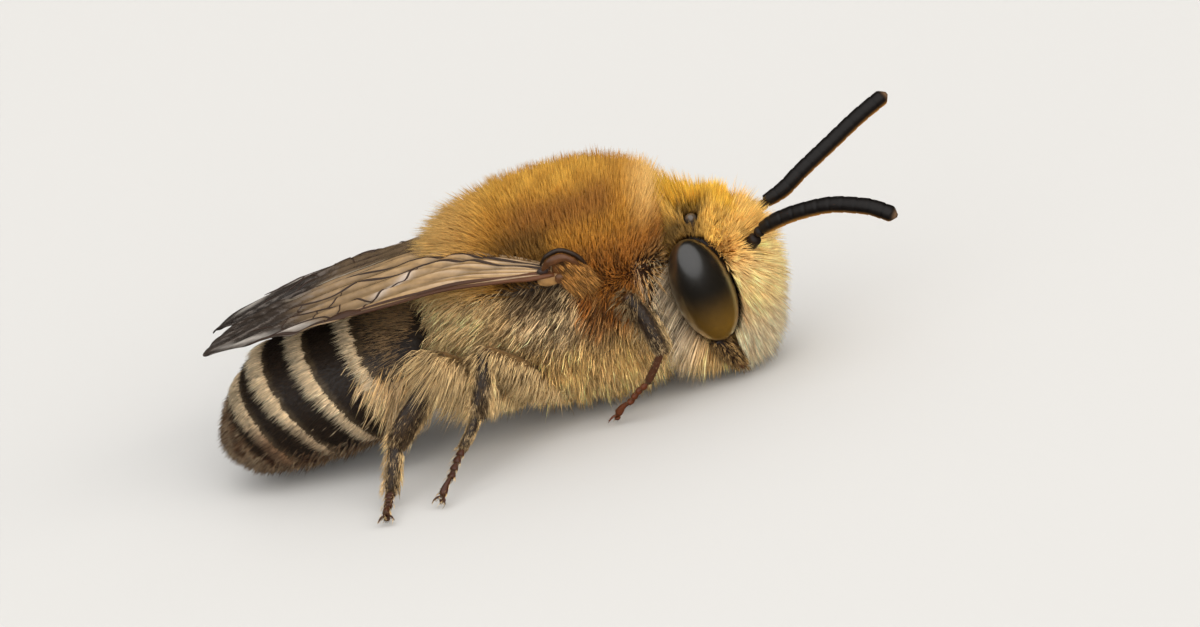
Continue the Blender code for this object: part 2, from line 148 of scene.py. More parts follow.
def placed(name, data):
    """A mesh, lamp or lens as an object in the scene."""
    made = bpy.data.objects.new(name, data)
    bpy.context.scene.collection.objects.link(made)
    return made


def mesh_object(name, points, faces):
    """A smooth mesh object from points in the stance's millimetres."""
    mesh = bpy.data.meshes.new(name)
    mesh.from_pydata(in_frame(points).tolist(), [], faces)
    face_outward(mesh)
    mesh.shade_smooth()
    return placed(name, mesh)


def thorax_shell(stations=40, count=48):
    across, up = oval(count, THORAX_FULLNESS)
    rings = []
    for x in np.linspace(THORAX_RINGS[0][0], THORAX_RINGS[-1][0], stations):
        back, belly, half = along(THORAX_RINGS, x)[0]
        widest = THORAX_WIDEST if belly < THORAX_WIDEST < back else (back + belly) / 2
        z = np.where(up > 0, widest + (back - widest) * up, widest + (widest - belly) * up)
        rings.append(np.stack([np.full(count, x), half * across, z], 1))
    return np.concatenate(rings), stations, count


def head_shell(stations=40, count=48):
    forward, across = oval(count, HEAD_FULLNESS)
    rings = []
    for z in np.linspace(HEAD_RINGS[0][0], HEAD_RINGS[-1][0], stations):
        face, nape, half = along(HEAD_RINGS, z)[0]
        widest = nape + HEAD_WIDEST * (face - nape)
        x = np.where(forward > 0, widest + (face - widest) * forward, widest + (widest - nape) * forward)
        rings.append(np.stack([x, half * across, np.full(count, z)], 1))
    return np.concatenate(rings), stations, count


def plate_at(at):
    """The number of the plate at a ring number, and how far along that plate it lies, 0 to 1."""
    ends = np.asarray(PLATE_ENDS, float)
    plate = np.clip(np.searchsorted(ends, at, side="right"), 1, len(ends) - 1)
    return plate, (at - ends[plate - 1]) / (ends[plate] - ends[plate - 1])


def abdomen_shell(count=56):
    across, up = oval(count, ABDOMEN_FULLNESS)
    numbered = [(number, *row) for number, row in enumerate(ABDOMEN_RINGS)]
    runs = [np.linspace(a, b, 15 if a == 0 else 9)[:-1] for a, b in zip(PLATE_ENDS, PLATE_ENDS[1:])]
    lips = np.asarray(PLATE_ENDS[1:-1]) - PLATE_LIP
    stops = np.sort(np.concatenate([*runs, lips, [PLATE_ENDS[-1]]]))
    rings = []
    for at in stops:
        top_x, top_z, low_x, low_z, half, coat = along(numbered, at)[0]
        _, run = plate_at(at)
        lap = PLATE_LAP * (min(run, 1) ** 0.7 - 0.5)
        height = math.hypot(top_x - low_x, top_z - low_z) / 2
        reach = (height - coat + lap) / height / 2
        x = (top_x + low_x) / 2 + (top_x - low_x) * reach * up
        z = (top_z + low_z) / 2 + (top_z - low_z) * reach * up
        rings.append(np.stack([x, (half - coat + lap) * across, z], 1))
    return np.concatenate(rings), len(stops), count


def rod_shell(start, end, radius, count=24):
    """A plain round rod, such as the neck."""
    across, up = oval(count)
    axis = np.asarray(end, float) - start
    side = np.cross(axis, (0, 0, 1.0))
    side /= np.linalg.norm(side)
    over = np.cross(side, axis)
    over /= np.linalg.norm(over)
    ring = radius * (across[:, None] * side + up[:, None] * over)
    return np.concatenate([ring + start, ring + end]), 2, count


def srgb(red, green, blue):
    """A colour given as 0 to 255 on a screen, in the shader's linear values."""
    value = np.array([red, green, blue], float) / 255
    return np.where(value <= 0.04045, value / 12.92, ((value + 0.055) / 1.055) ** 2.4)


def wave(points, size, seed):
    """A smooth uneven field over space, about -1 to 1, with lumps of about the given size."""
    turns = np.random.default_rng(seed)
    total = np.zeros(len(points))
    for octave in range(3):
        for _ in range(3):
            way = turns.normal(size=3)
            way *= math.tau / (np.linalg.norm(way) * size * (1.0, 0.6, 0.37)[octave])
            total += (0.5, 0.3, 0.2)[octave] * np.sin(points @ way + turns.uniform(0, math.tau))
    return total / 1.7


def blend(first, second, share):
    """The first colour with a share of the second, point by point."""
    return first + (second - first) * np.clip(share, 0, 1)[..., None]


def soften(value, low, high):
    """A soft step: 0 below low, 1 above high."""
    t = np.clip((value - low) / (high - low), 0, 1)
    return t * t * (3 - 2 * t)


def abdomen_place(points):
    """Ring number of points on the abdomen, found from the leaning planes of its rings."""
    rows = np.asarray(ABDOMEN_RINGS)
    behind = []                 # how far points lie behind each ring's plane
    for top_x, top_z, low_x, low_z, _, _ in rows:
        lean = np.array([top_x - low_x, top_z - low_z]) / math.hypot(top_x - low_x, top_z - low_z)
        rear = np.array([-lean[1], lean[0]])
        behind.append((points[:, [0, 2]] - ((top_x + low_x) / 2, (top_z + low_z) / 2)) @ rear)
    behind = np.stack(behind, 1)
    i = np.clip((behind > 0).sum(1) - 1, 0, len(rows) - 2)
    pick = np.arange(len(points))
    a, b = behind[pick, i], behind[pick, i + 1]
    return i + np.clip(a / np.where(np.abs(a - b) < 1e-9, 1e-9, a - b), 0, 1)


EYE_LOW, EYE_HIGH = (np.asarray(corner, float) / MM - (STANCE_X, 0, 0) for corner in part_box("eye_left"))
EYE_CENTRE = tuple((EYE_LOW + EYE_HIGH) / 2)
EYE_RADII = (0.55, 0.54, 1.06)
EYE_LEAN, EYE_PITCH = 9, -5     # degrees about x, outwards, and about y
FAR_OFF = 9.0                   # farther than anything on the bee


def eye_reach(points):
    """How far points lie from the middle of the nearer eye, 1 on its face."""
    nearest = np.full(points.shape[:-1], FAR_OFF)
    for side in SIDES.values():
        lean = Matrix.Rotation(math.radians(-side * EYE_LEAN), 3, "X")
        lean = np.array(lean @ Matrix.Rotation(math.radians(EYE_PITCH), 3, "Y"))
        local = (points - (EYE_CENTRE[0], side * EYE_CENTRE[1], EYE_CENTRE[2])) @ lean / EYE_RADII
        nearest = np.minimum(nearest, np.sqrt((local ** 2).sum(-1)))
    return nearest


def near_eye(points):
    """How near points lie to an eye's rim, 1 beside it."""
    return soften(1.22 - eye_reach(points), 0, 0.08)


BAND_START = (0.91, 0.77, 0.75, 0.67, 0.60, 2.0)      # where on each plate its pale hair band begins
BAND_EDGE = 0.05                # how soft the band's front edge is, as a share of its plate
BAND_COLOUR = srgb(150, 126, 88)
HORN_COLOUR = srgb(30, 23, 18)
RUSTY_HORN = srgb(96, 52, 28)
# the shaded depth of the fur, part by part
FUR_FLOOR = srgb(112, 66, 20)
SIDE_FLOOR = srgb(62, 46, 28)
COLLAR_FLOOR = srgb(84, 42, 14)
BELLY_FLOOR = srgb(120, 92, 52)
NECK_FLOOR = srgb(40, 24, 14)
BEARD_FLOOR = srgb(160, 128, 74)
BROW_FLOOR = srgb(150, 96, 26)
CROWN_FLOOR = srgb(64, 44, 26)
EYE_RIM = srgb(20, 14, 10)


def band_share(points):
    """How much of the pale rear band there is at points on the abdomen, 0 to 1."""
    plate, run = plate_at(abdomen_place(points))
    start = np.asarray(BAND_START)[plate - 1] - 0.05 * (plate == 1) * soften(2.4 - points[:, 2], 0, 1.2)
    ragged = 0.03 * wave(points, 0.25, 5)
    return soften(run + ragged, start, start + BAND_EDGE)


def plain(colour, points):
    """The same colour for each of the points."""
    return np.tile(colour, (len(points), 1))


def hues(ground, *layers):
    """A mix of colours: the ground, then each (colour, share) laid over it in turn."""
    for colour, share in layers:
        ground = blend(ground, colour, share)
    return ground


HEAD_FROM, ABDOMEN_FROM = 1.55, -2.70   # where the thorax's colours end, forward and rearward


def skin_colour(points):
    x, z = points[:, 0], points[:, 2]
    plates = hues(
        plain(HORN_COLOUR, points),
        (RUSTY_HORN, 0.7 * soften(-x, 5.6, 7.2) * soften(1.3 - z, 0, 1.0)),
        (RUSTY_HORN, 0.5 * soften(0.75 - z, 0, 0.5)),
        (BAND_COLOUR, 0.15 * band_share(points)),
    )
    thorax = hues(
        plain(SIDE_FLOOR, points),
        (COLLAR_FLOOR, soften(x, 0.2, 0.7) * soften(z, 1.5, 2.1)),
        (FUR_FLOOR, soften(z, 2.9, 3.4)),
        (NECK_FLOOR, soften(x, 0.9, 1.2) * soften(3.3 - z, 0, 0.3)),
        (BELLY_FLOOR, soften(1.3 - z, 0, 0.5)),
    )
    head = hues(
        plain(BEARD_FLOOR, points),
        (BROW_FLOOR, soften(z, 2.0, 2.5)),
        (CROWN_FLOOR, soften(z, 2.75, 2.95)),
        (NECK_FLOOR, soften(2.1 - x, 0, 0.2) * soften(z, 1.2, 1.8) * soften(3.0 - z, 0, 0.2)),
        (EYE_RIM, near_eye(points)),
    )
    body = np.where((x > HEAD_FROM)[:, None], head, thorax)
    return np.where((x < ABDOMEN_FROM)[:, None], plates, body)


def tint(thing, colours):
    """Gives each point of a piece its own colour, which the finish reads."""
    layer = thing.data.color_attributes.new("tint", "FLOAT_COLOR", "POINT")
    rgba = np.ones((len(colours), 4))
    rgba[:, :3] = np.clip(colours, 0, 1)
    layer.data.foreach_set("color", rgba.ravel())


MOTTLE_SCALE = 9000             # lumps to the metre in the fine mottle that every finish has
MOTTLE = (0.75, 1.25)           # its darkest and lightest


def tinted_finish(name, roughness, **extra):
    """A finish that takes its colour from the piece's own tint, with a fine mottle over it."""
    made = bpy.data.materials.new(name)
    made.use_nodes = True
    nodes, links = made.node_tree.nodes, made.node_tree.links
    shader = nodes["Principled BSDF"]
    shader.inputs["Roughness"].default_value = roughness
    for socket, value in extra.items():
        shader.inputs[socket.replace("_", " ")].default_value = value
    colour = nodes.new("ShaderNodeAttribute")
    colour.attribute_name = "tint"
    place = nodes.new("ShaderNodeTexCoord")
    mottle = nodes.new("ShaderNodeTexNoise")
    mottle.inputs["Scale"].default_value = MOTTLE_SCALE
    links.new(place.outputs["Object"], mottle.inputs["Vector"])
    spread = nodes.new("ShaderNodeMapRange")
    spread.inputs["To Min"].default_value, spread.inputs["To Max"].default_value = MOTTLE
    links.new(mottle.outputs["Fac"], spread.inputs["Value"])
    shade = nodes.new("ShaderNodeVectorMath")
    shade.operation = "SCALE"
    links.new(colour.outputs["Color"], shade.inputs[0])
    links.new(spread.outputs["Result"], shade.inputs["Scale"])
    links.new(shade.outputs["Vector"], shader.inputs["Base Color"])
    return made


def add_bump(made, scale, depth, kind="ShaderNodeTexVoronoi", output="Distance"):
    """Fine relief in the finish: cells or grain of the given frequency, depth in metres."""
    nodes, links = made.node_tree.nodes, made.node_tree.links
    place = nodes.new("ShaderNodeTexCoord")
    grain = nodes.new(kind)
    grain.inputs["Scale"].default_value = scale
    bump = nodes.new("ShaderNodeBump")
    bump.inputs["Strength"].default_value = 1.0
    bump.inputs["Distance"].default_value = depth
    links.new(place.outputs["Object"], grain.inputs["Vector"])
    links.new(grain.outputs[output], bump.inputs["Height"])
    links.new(bump.outputs["Normal"], nodes["Principled BSDF"].inputs["Normal"])


def make_skin():
    """The five shells made one over a fine grid, in millimetres, and then put into the frame."""
    points, faces = [], []
    shells = (thorax_shell(), head_shell(), abdomen_shell(), rod_shell(*NECK), rod_shell(*WAIST))
    for part, rows, count in shells:
        faces += ring_faces(rows, count, sum(len(p) for p in points))
        points.append(part)
    mesh = bpy.data.meshes.new("skin_cage")
    mesh.from_pydata(np.concatenate(points).tolist(), [], faces)
    face_outward(mesh)
    cage = placed("skin_cage", mesh)
    whole = cage.modifiers.new("one_shell", "REMESH")
    whole.mode = "VOXEL"
    whole.voxel_size = SKIN_VOXEL
    ease = cage.modifiers.new("ease", "SMOOTH")
    ease.iterations = 2
    made = bpy.data.meshes.new_from_object(cage.evaluated_get(bpy.context.evaluated_depsgraph_get()))
    bpy.data.objects.remove(cage)
    spots = np.empty(len(made.vertices) * 3)
    made.vertices.foreach_get("co", spots)
    spots = spots.reshape(-1, 3)
    made.vertices.foreach_set("co", in_frame(spots).ravel())
    made.update()
    made.shade_smooth()
    made.name = "skin"
    piece = placed("skin", made)
    made.materials.clear()
    tint(piece, skin_colour(spots))
    finish = tinted_finish("pitted_horn", 0.42, Specular_IOR_Level=0.45)
    add_bump(finish, 16000, 0.000012)
    made.materials.append(finish)
    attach(piece, "root")
    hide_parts("head", "thorax", *[f"abdomen_{n}" for n in range(1, 7)])
    return piece


skin = make_skin()


# ------------------------------------------------------------------ eyes and ocelli
# The two long compound eyes are smooth black domes, olive brown low down, mostly as a painted
# reflection of yellow from below, set in the sides of the head. The three ocelli are clear beads on
# the crown, their grey a painted sheen. All are clear horn over dark pigment.
OCELLI = {"front": (2.48, 0.0, 3.05), "right": (2.16, -0.42, 3.10), "left": (2.16, 0.42, 3.10)}
OCELLUS_FACES = {"front": (0.70, 0.0, 0.75), "right": (0.15, -0.80, 0.55), "left": (0.15, 0.80, 0.55)}
OCELLUS_RADIUS = 0.12
EYE_BLACK = srgb(24, 20, 14)
# painted reflection: the olive brown low on the eyes stands mostly for yellow reflected from below
EYE_OLIVE_REFLECTION = srgb(104, 74, 14)
EYE_INNER = srgb(10, 8, 7)
# painted sheen: a grey base colour that stands in for the sheen of the clear bead
OCELLUS_SHEEN_GREY = srgb(84, 74, 64)


def dome(columns, rows):
    """Points and faces of a unit ball, poles up and down."""
    polar = np.linspace(0, math.pi, rows + 1)[1:-1]
    turn = np.linspace(0, math.tau, columns, endpoint=False)
    rings = [
        [math.sin(p) * math.cos(t), math.sin(p) * math.sin(t), math.cos(p)]
        for p in polar for t in turn
    ]
    points = np.array([[0, 0, 1.0], *rings, [0, 0, -1.0]])
    faces = []
    for c in range(columns):
        d = (c + 1) % columns
        faces.append([0, 1 + c, 1 + d])
        for r in range(rows - 2):
            a, b = 1 + r * columns, 1 + (r + 1) * columns
            faces.append([a + c, b + c, b + d, a + d])
        last = 1 + (rows - 2) * columns
        faces.append([last + c, len(points) - 1, last + d])
    return points, faces


def turned(points, lean, pitch):
    """Points leaned sideways about x and then pitched about y, in degrees."""
    turn = Matrix.Rotation(math.radians(lean), 3, "X") @ Matrix.Rotation(math.radians(pitch), 3, "Y")
    return points @ np.array(turn).T


def make_eyes():
    finish = tinted_finish(
        "eye_glaze", 0.34, Specular_IOR_Level=1.0, Coat_Weight=1.0, Coat_Roughness=0.2, Coat_IOR=1.65,
    )
    add_bump(finish, 60000, 0.0000008)
    ball, faces = dome(96, 64)
    for side_name, side in SIDES.items():
        centre = (EYE_CENTRE[0], side * EYE_CENTRE[1], EYE_CENTRE[2])
        spots = turned(ball * EYE_RADII, -side * EYE_LEAN, EYE_PITCH) + centre
        piece = mesh_object("compound_eye_" + side_name, spots, faces)
        height = (spots[:, 2] - EYE_CENTRE[2]) / EYE_RADII[2]
        inner = soften(EYE_CENTRE[1] + 0.08 - side * spots[:, 1], 0, 0.10)
        # black, olive brown low down as a painted reflection of yellow from below, darker on the inner side
        tint(piece, hues(
            plain(EYE_BLACK, spots), (EYE_OLIVE_REFLECTION, soften(-height, -0.15, 0.75)), (EYE_INNER, inner),
        ))
        piece.data.materials.append(finish)
        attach(piece, "root")
        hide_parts("eye_" + side_name)
    glass = tinted_finish(
        "ocellus_glaze", 0.08, Specular_IOR_Level=0.8, Coat_Weight=1.0, Coat_Roughness=0.03,
    )
    ball, faces = dome(32, 20)
    for name, centre in OCELLI.items():
        piece = mesh_object("ocellus_bead_" + name, ball * OCELLUS_RADIUS * (1, 1, 0.95) + centre, faces)
        # grey as a painted sheen
        tint(piece, plain(OCELLUS_SHEEN_GREY, ball))
        piece.data.materials.append(glass)
        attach(piece, "root")
        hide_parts("ocellus_" + name)


make_eyes()


# ------------------------------------------------------------------ jaws
# Each jaw is a curved tapering blade of hard dark horn, russet towards its point, hinged below
# the eye and crossed over the other under the beard.
JAW_PATH = (
    (2.06, 0.90, 0.96), (2.22, 0.86, 0.66), (2.33, 0.70, 0.38), (2.34, 0.46, 0.20), (2.27, 0.22, 0.12),
)
# half width at shares of the length, as for every tube below
JAW_HALF = ((0.0, 0.19), (0.25, 0.21), (0.6, 0.15), (0.9, 0.08), (1.0, 0.02))
JAW_BLACK = srgb(34, 22, 16)
JAW_RUSSET = srgb(112, 48, 20)


def sweep(path, half_width, half_depth, rows=24, count=14, up=(0, 0, 1)):
    """A tube of oval section on a smooth path: its points, its faces and its centre line."""
    path = np.asarray(path, float)
    reach = np.concatenate([[0], np.cumsum(np.linalg.norm(np.diff(path, axis=0), axis=1))])
    share = np.linspace(0, 1, rows)
    line = along(np.column_stack([reach / reach[-1], path]), share)
    way = np.gradient(line, axis=0)
    way /= np.linalg.norm(way, axis=1)[:, None]
    side = np.cross(way, up)
    side /= np.linalg.norm(side, axis=1)[:, None]
    over = np.cross(side, way)
    across, height = oval(count)
    wide, deep = along(half_width, share)[:, 0], along(half_depth, share)[:, 0]
    rings = line[:, None] + wide[:, None, None] * across[None, :, None] * side[:, None]
    rings = rings + deep[:, None, None] * height[None, :, None] * over[:, None]
    return rings.reshape(-1, 3), ring_faces(rows, count), line


def flatter(half, share):
    """A tube's half widths times a share, as its half depths."""
    return [(place, share * width) for place, width in half]


def sided(points, side):
    """Points given for the left side, put on either side."""
    return np.asarray(points, float) * (1, side, 1)


def make_jaws():
    made = {}
    finish = tinted_finish("jaw_horn", 0.3, Specular_IOR_Level=0.5)
    add_bump(finish, 12000, 0.000006, "ShaderNodeTexNoise", "Fac")
    for side_name, side in SIDES.items():
        spots, faces, _ = sweep(sided(JAW_PATH, side), JAW_HALF, flatter(JAW_HALF, 0.7), up=(1, 0, 0.3))
        piece = mesh_object("jaw_blade_" + side_name, spots, faces)
        tint(piece, hues(plain(JAW_BLACK, spots), (JAW_RUSSET, soften(0.5 - spots[:, 2], 0, 0.4))))
        piece.data.materials.append(finish)
        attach(piece, "root")
        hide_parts("mandible_" + side_name)
        made[side_name] = piece
    return made


jaws = make_jaws()


# ------------------------------------------------------------------ feelers
# Each feeler is a long scape set in the face, a bead-like joint, and a whip of eleven short
# drums with a fine down on them: black brown, russet beneath, and paler at the tip.
SCAPE_PATH = ((2.72, 0.47, 2.14), (2.90, 0.52, 2.27), (3.10, 0.59, 2.43), (3.26, 0.64, 2.58))
PEDICEL = (3.33, 0.665, 2.655)
LASH_PATHS = {
    "right": (
        (3.38, -0.68, 2.70), (3.70, -0.76, 2.82), (4.16, -0.90, 2.93), (4.74, -1.10, 2.99),
        (5.37, -1.35, 2.90), (5.90, -1.52, 2.64),
    ),
    "left": (
        (3.38, 0.68, 2.70), (3.72, 0.77, 2.80), (4.12, 0.90, 3.02), (4.77, 1.10, 3.35),
        (5.41, 1.30, 3.67), (5.97, 1.46, 3.90),
    ),
}
SCAPE_HALF = ((0, 0.07), (0.12, 0.10), (0.6, 0.115), (0.92, 0.125), (1, 0.06))
PEDICEL_RADII = (0.105, 0.105, 0.10)
DRUMS = 11
# place along a drum, and its half width there as a share of the lash's
DRUM_HALF = ((0.03, 0.93), (0.12, 0.99), (0.5, 1.0), (0.86, 1.02), (0.97, 0.95))
DRUM_ROWS, LASH_COLUMNS = 9, 22
LASH_RADIUS = 0.148
LASH_TIP = 0.55                 # how much of the last drum is rounded off
SCAPE_BLACK = srgb(30, 22, 18)
LASH_BLACK = srgb(20, 16, 14)
LASH_RUSSET = srgb(204, 138, 44)
LASH_PALE = srgb(120, 92, 66)


def lash_half():
    """Half widths along a lash: a row of drums that swells from its root, round at the tip."""
    keys = [(0, 0.06)]
    for drum in range(DRUMS):
        for step, size in DRUM_HALF:
            place = drum + step
            swell = 0.80 + 0.20 * min(1, place / 1.2)
            end = 1.0
            if place >= DRUMS - LASH_TIP:
                end = max(0.25, 1 - ((place - DRUMS + LASH_TIP) / LASH_TIP) ** 2.2)
            keys.append((place / DRUMS, LASH_RADIUS * size * swell * end))
    return [*keys, (1, 0.03)]


def lash_colour(spots, line):
    under = -(spots - np.repeat(line, LASH_COLUMNS, 0))[:, 2] / LASH_RADIUS
    share = np.repeat(np.linspace(0, 1, len(line)), LASH_COLUMNS)
    seam = np.abs((share * DRUMS + 0.5) % 1 - 0.5) * 2
    colour = hues(
        plain(LASH_BLACK, spots),
        (LASH_RUSSET, soften(under, 0.35, 0.95) * 0.9),
        (LASH_PALE, soften(share, 0.965, 1.0) * 0.8),
    )
    return colour * (0.55 + 0.45 * soften(seam, 0.0, 0.16))[:, None]


def joined(parts):
    """Several (points, faces) as one."""
    points, faces, first = [], [], 0
    for spots, made in parts:
        points.append(spots)
        faces += [[i + first for i in face] for face in made]
        first += len(spots)
    return np.concatenate(points), faces


def make_feelers():
    finish = tinted_finish("feeler_down", 0.42, Specular_IOR_Level=0.4)
    add_bump(finish, 30000, 0.000004, "ShaderNodeTexNoise", "Fac")
    bead, bead_faces = dome(20, 14)
    for side_name, side in SIDES.items():
        rod = sweep(sided(SCAPE_PATH, side), SCAPE_HALF, SCAPE_HALF, rows=20, count=18)[:2]
        spots, faces = joined([rod, (bead * PEDICEL_RADII + sided([PEDICEL], side), bead_faces)])
        piece = mesh_object("scape_rod_" + side_name, spots, faces)
        tint(piece, plain(SCAPE_BLACK, spots))
        piece.data.materials.append(finish)
        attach(piece, "root")
        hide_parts("scape_" + side_name)
        half = lash_half()
        spots, faces, line = sweep(
            LASH_PATHS[side_name], half, half, rows=DRUMS * DRUM_ROWS, count=LASH_COLUMNS,
        )
        piece = mesh_object("lash_" + side_name, spots, faces)
        tint(piece, lash_colour(spots, line))
        piece.data.materials.append(finish)
        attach(piece, "root")
        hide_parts("flagellum_" + side_name)


make_feelers()


# ------------------------------------------------------------------ wing root caps
# A tegula is a small shoe of amber brown horn over the wing's root: a rim bent like a C, dark partly
# as its own edge and partly as a painted shadow arc, a glossy ridge along it, and a domed middle.
# Small hinge plates join it to the wing.
TEGULA_CENTRE = (0.00, 1.86, 3.26)
TEGULA_RADII = (0.27, 0.09, 0.22)
TEGULA_RIM = (
    (-0.46, 1.88, 3.44), (-0.29, 1.90, 3.60), (-0.07, 1.90, 3.65), (0.15, 1.88, 3.54), (0.31, 1.86, 3.32),
    (0.36, 1.83, 3.04),
)
TEGULA_RIDGE = (
    (-0.43, 1.93, 3.36), (-0.27, 1.97, 3.49), (-0.06, 1.98, 3.53), (0.11, 1.96, 3.43), (0.21, 1.93, 3.26),
    (0.25, 1.90, 3.08),
)
TEGULA_PITCH = 16
RIM_HALF = ((0, 0.02), (0.3, 0.045), (0.7, 0.045), (1, 0.02))
RIDGE_HALF = ((0, 0.03), (0.3, 0.085), (0.6, 0.08), (1, 0.03))
# middle, radii and colour of the hinge plates between the cap and the wing
HINGE_PLATES = (
    ((-0.36, 1.92, 3.16), (0.22, 0.05, 0.12), srgb(140, 104, 60)),
    ((-0.44, 1.89, 3.33), (0.11, 0.06, 0.07), srgb(50, 38, 34)),
    ((-0.16, 1.95, 3.14), (0.10, 0.05, 0.10), srgb(92, 58, 30)),
)
CAP_AMBER = srgb(112, 70, 34)
# the rim's dark: partly the cap's own edge, partly a painted shadow arc over it
CAP_RIM_SHADOW = srgb(38, 25, 15)
CAP_RIDGE = srgb(82, 50, 26)


def make_tegulae():
    finish = tinted_finish("amber_horn", 0.32, Specular_IOR_Level=0.6)
    add_bump(finish, 9000, 0.000006, "ShaderNodeTexNoise", "Fac")
    ball, faces = dome(40, 26)
    out = (0, 1, 0)
    ridge_depth = flatter(RIDGE_HALF, 0.7)
    parts = [
        (turned(ball * TEGULA_RADII, 0, TEGULA_PITCH) + TEGULA_CENTRE, faces),
        sweep(TEGULA_RIM, RIM_HALF, RIM_HALF, rows=40, count=16, up=out)[:2],
        sweep(TEGULA_RIDGE, RIDGE_HALF, ridge_depth, rows=40, count=18, up=out)[:2],
    ]
    # the rim's colour is partly painted shadow
    colours = [CAP_AMBER, CAP_RIM_SHADOW, CAP_RIDGE]
    for centre, radii, colour in HINGE_PLATES:
        parts.append((ball * radii + centre, faces))
        colours.append(colour)
    points, whole = joined(parts)
    hue = np.concatenate([plain(colour, spots) for (spots, _), colour in zip(parts, colours)])
    hue = hue * (1 + 0.25 * wave(points, 0.2, 13))[:, None]
    made = {}
    for side_name, side in SIDES.items():
        piece = mesh_object("root_cap_" + side_name, sided(points, side), whole)
        tint(piece, hue)
        piece.data.materials.append(finish)
        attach(piece, "root")
        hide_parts("tegula_" + side_name)
        made[side_name] = piece
    return made


caps = make_tegulae()


# ------------------------------------------------------------------ wings
# The folded wings are smoke-brown film, pleated lengthways and stiffened by dark veins that
# spread from the root. The forewing carries a thick front vein and a dark stigma, and the
# hindwing lies hooked under its inner edge. The left pair has settled lower than the right.
WING_TIP, WING_ROOT = -7.06, -0.28
# plan edges as (x, distance from the middle line): the outer one, and where each wing folds over
WING_OUTER = (
    (-7.06, 0.95), (-7.00, 1.01), (-6.80, 1.10), (-6.40, 1.26), (-5.80, 1.49), (-5.00, 1.77),
    (-4.20, 1.95), (-2.50, 2.07), (-1.20, 2.07), (-0.28, 1.96),
)
WING_FOLD = (
    (-7.06, 0.93), (-7.00, 0.74), (-6.85, 0.42), (-6.70, 0.22), (-6.50, 0.04), (-6.25, -0.06),
    (-5.90, 0.00), (-5.40, 0.16), (-4.80, 0.30), (-3.90, 0.26), (-3.20, 0.36), (-2.54, 0.66),
    (-1.95, 0.96), (-1.20, 1.32), (-0.54, 1.60), (-0.28, 1.72),
)
LEFT_FOLD = (
    (-7.06, 0.93), (-7.00, 0.84), (-6.80, 0.62), (-6.50, 0.36), (-6.10, 0.06), (-5.70, -0.16),
    (-5.00, -0.24), (-3.90, -0.22), (-3.20, 0.10), (-2.54, 0.60), (-1.95, 0.96), (-1.20, 1.32),
    (-0.54, 1.60), (-0.28, 1.72),
)
LEFT_DROP = 0.12                # how far under the right pair the left one lies at the middle
HINDWING_INNER = ((-5.90, 0.30), (-5.70, 0.10), (-5.20, 0.03), (-2.60, 0.03))
HINDWING_OUTER = ((-5.90, 0.34), (-5.70, 0.60), (-5.20, 0.90), (-4.40, 1.20), (-2.60, 1.30))
HINDWING_TIP, HINDWING_ROOT = -5.90, -2.60
# side curves as (x, height): the wings' ridge, their outer edge, and how far the right one sits lower
WING_RIDGE = (
    (-7.05, 3.00), (-6.36, 3.12), (-5.50, 3.33), (-4.50, 3.52), (-3.50, 3.64), (-2.60, 3.76),
    (-1.60, 3.90), (-0.28, 3.84),
)
WING_BROW = (
    (-7.05, 2.97), (-6.00, 3.14), (-5.00, 3.28), (-3.80, 3.41), (-2.30, 3.49), (-1.30, 3.38),
    (-0.28, 3.24),
)
WING_SETTLE = (
    (-7.20, 0.28), (-6.50, 0.16), (-5.50, 0.17), (-5.00, 0.22), (-4.30, 0.28), (-3.50, 0.37),
    (-2.30, 0.40), (-0.90, 0.0),
)
LEFT_REACH = 0.15               # how far further back the left pair's tip lies
FILM_THICKNESS = 0.020
HINDWING_DROP = 0.07
STIGMA = ((-3.80, 1.93), (-4.00, 1.90), (-4.25, 1.87), (-4.50, 1.87))

STIGMA_HALF = ((0, 0.03), (0.5, 0.085), (1, 0.02))
PLEAT, FINE_PLEAT = 0.36, 0.17  # spacing of the lengthways pleats
RIBS = 7                        # fine ribs that run out from the root

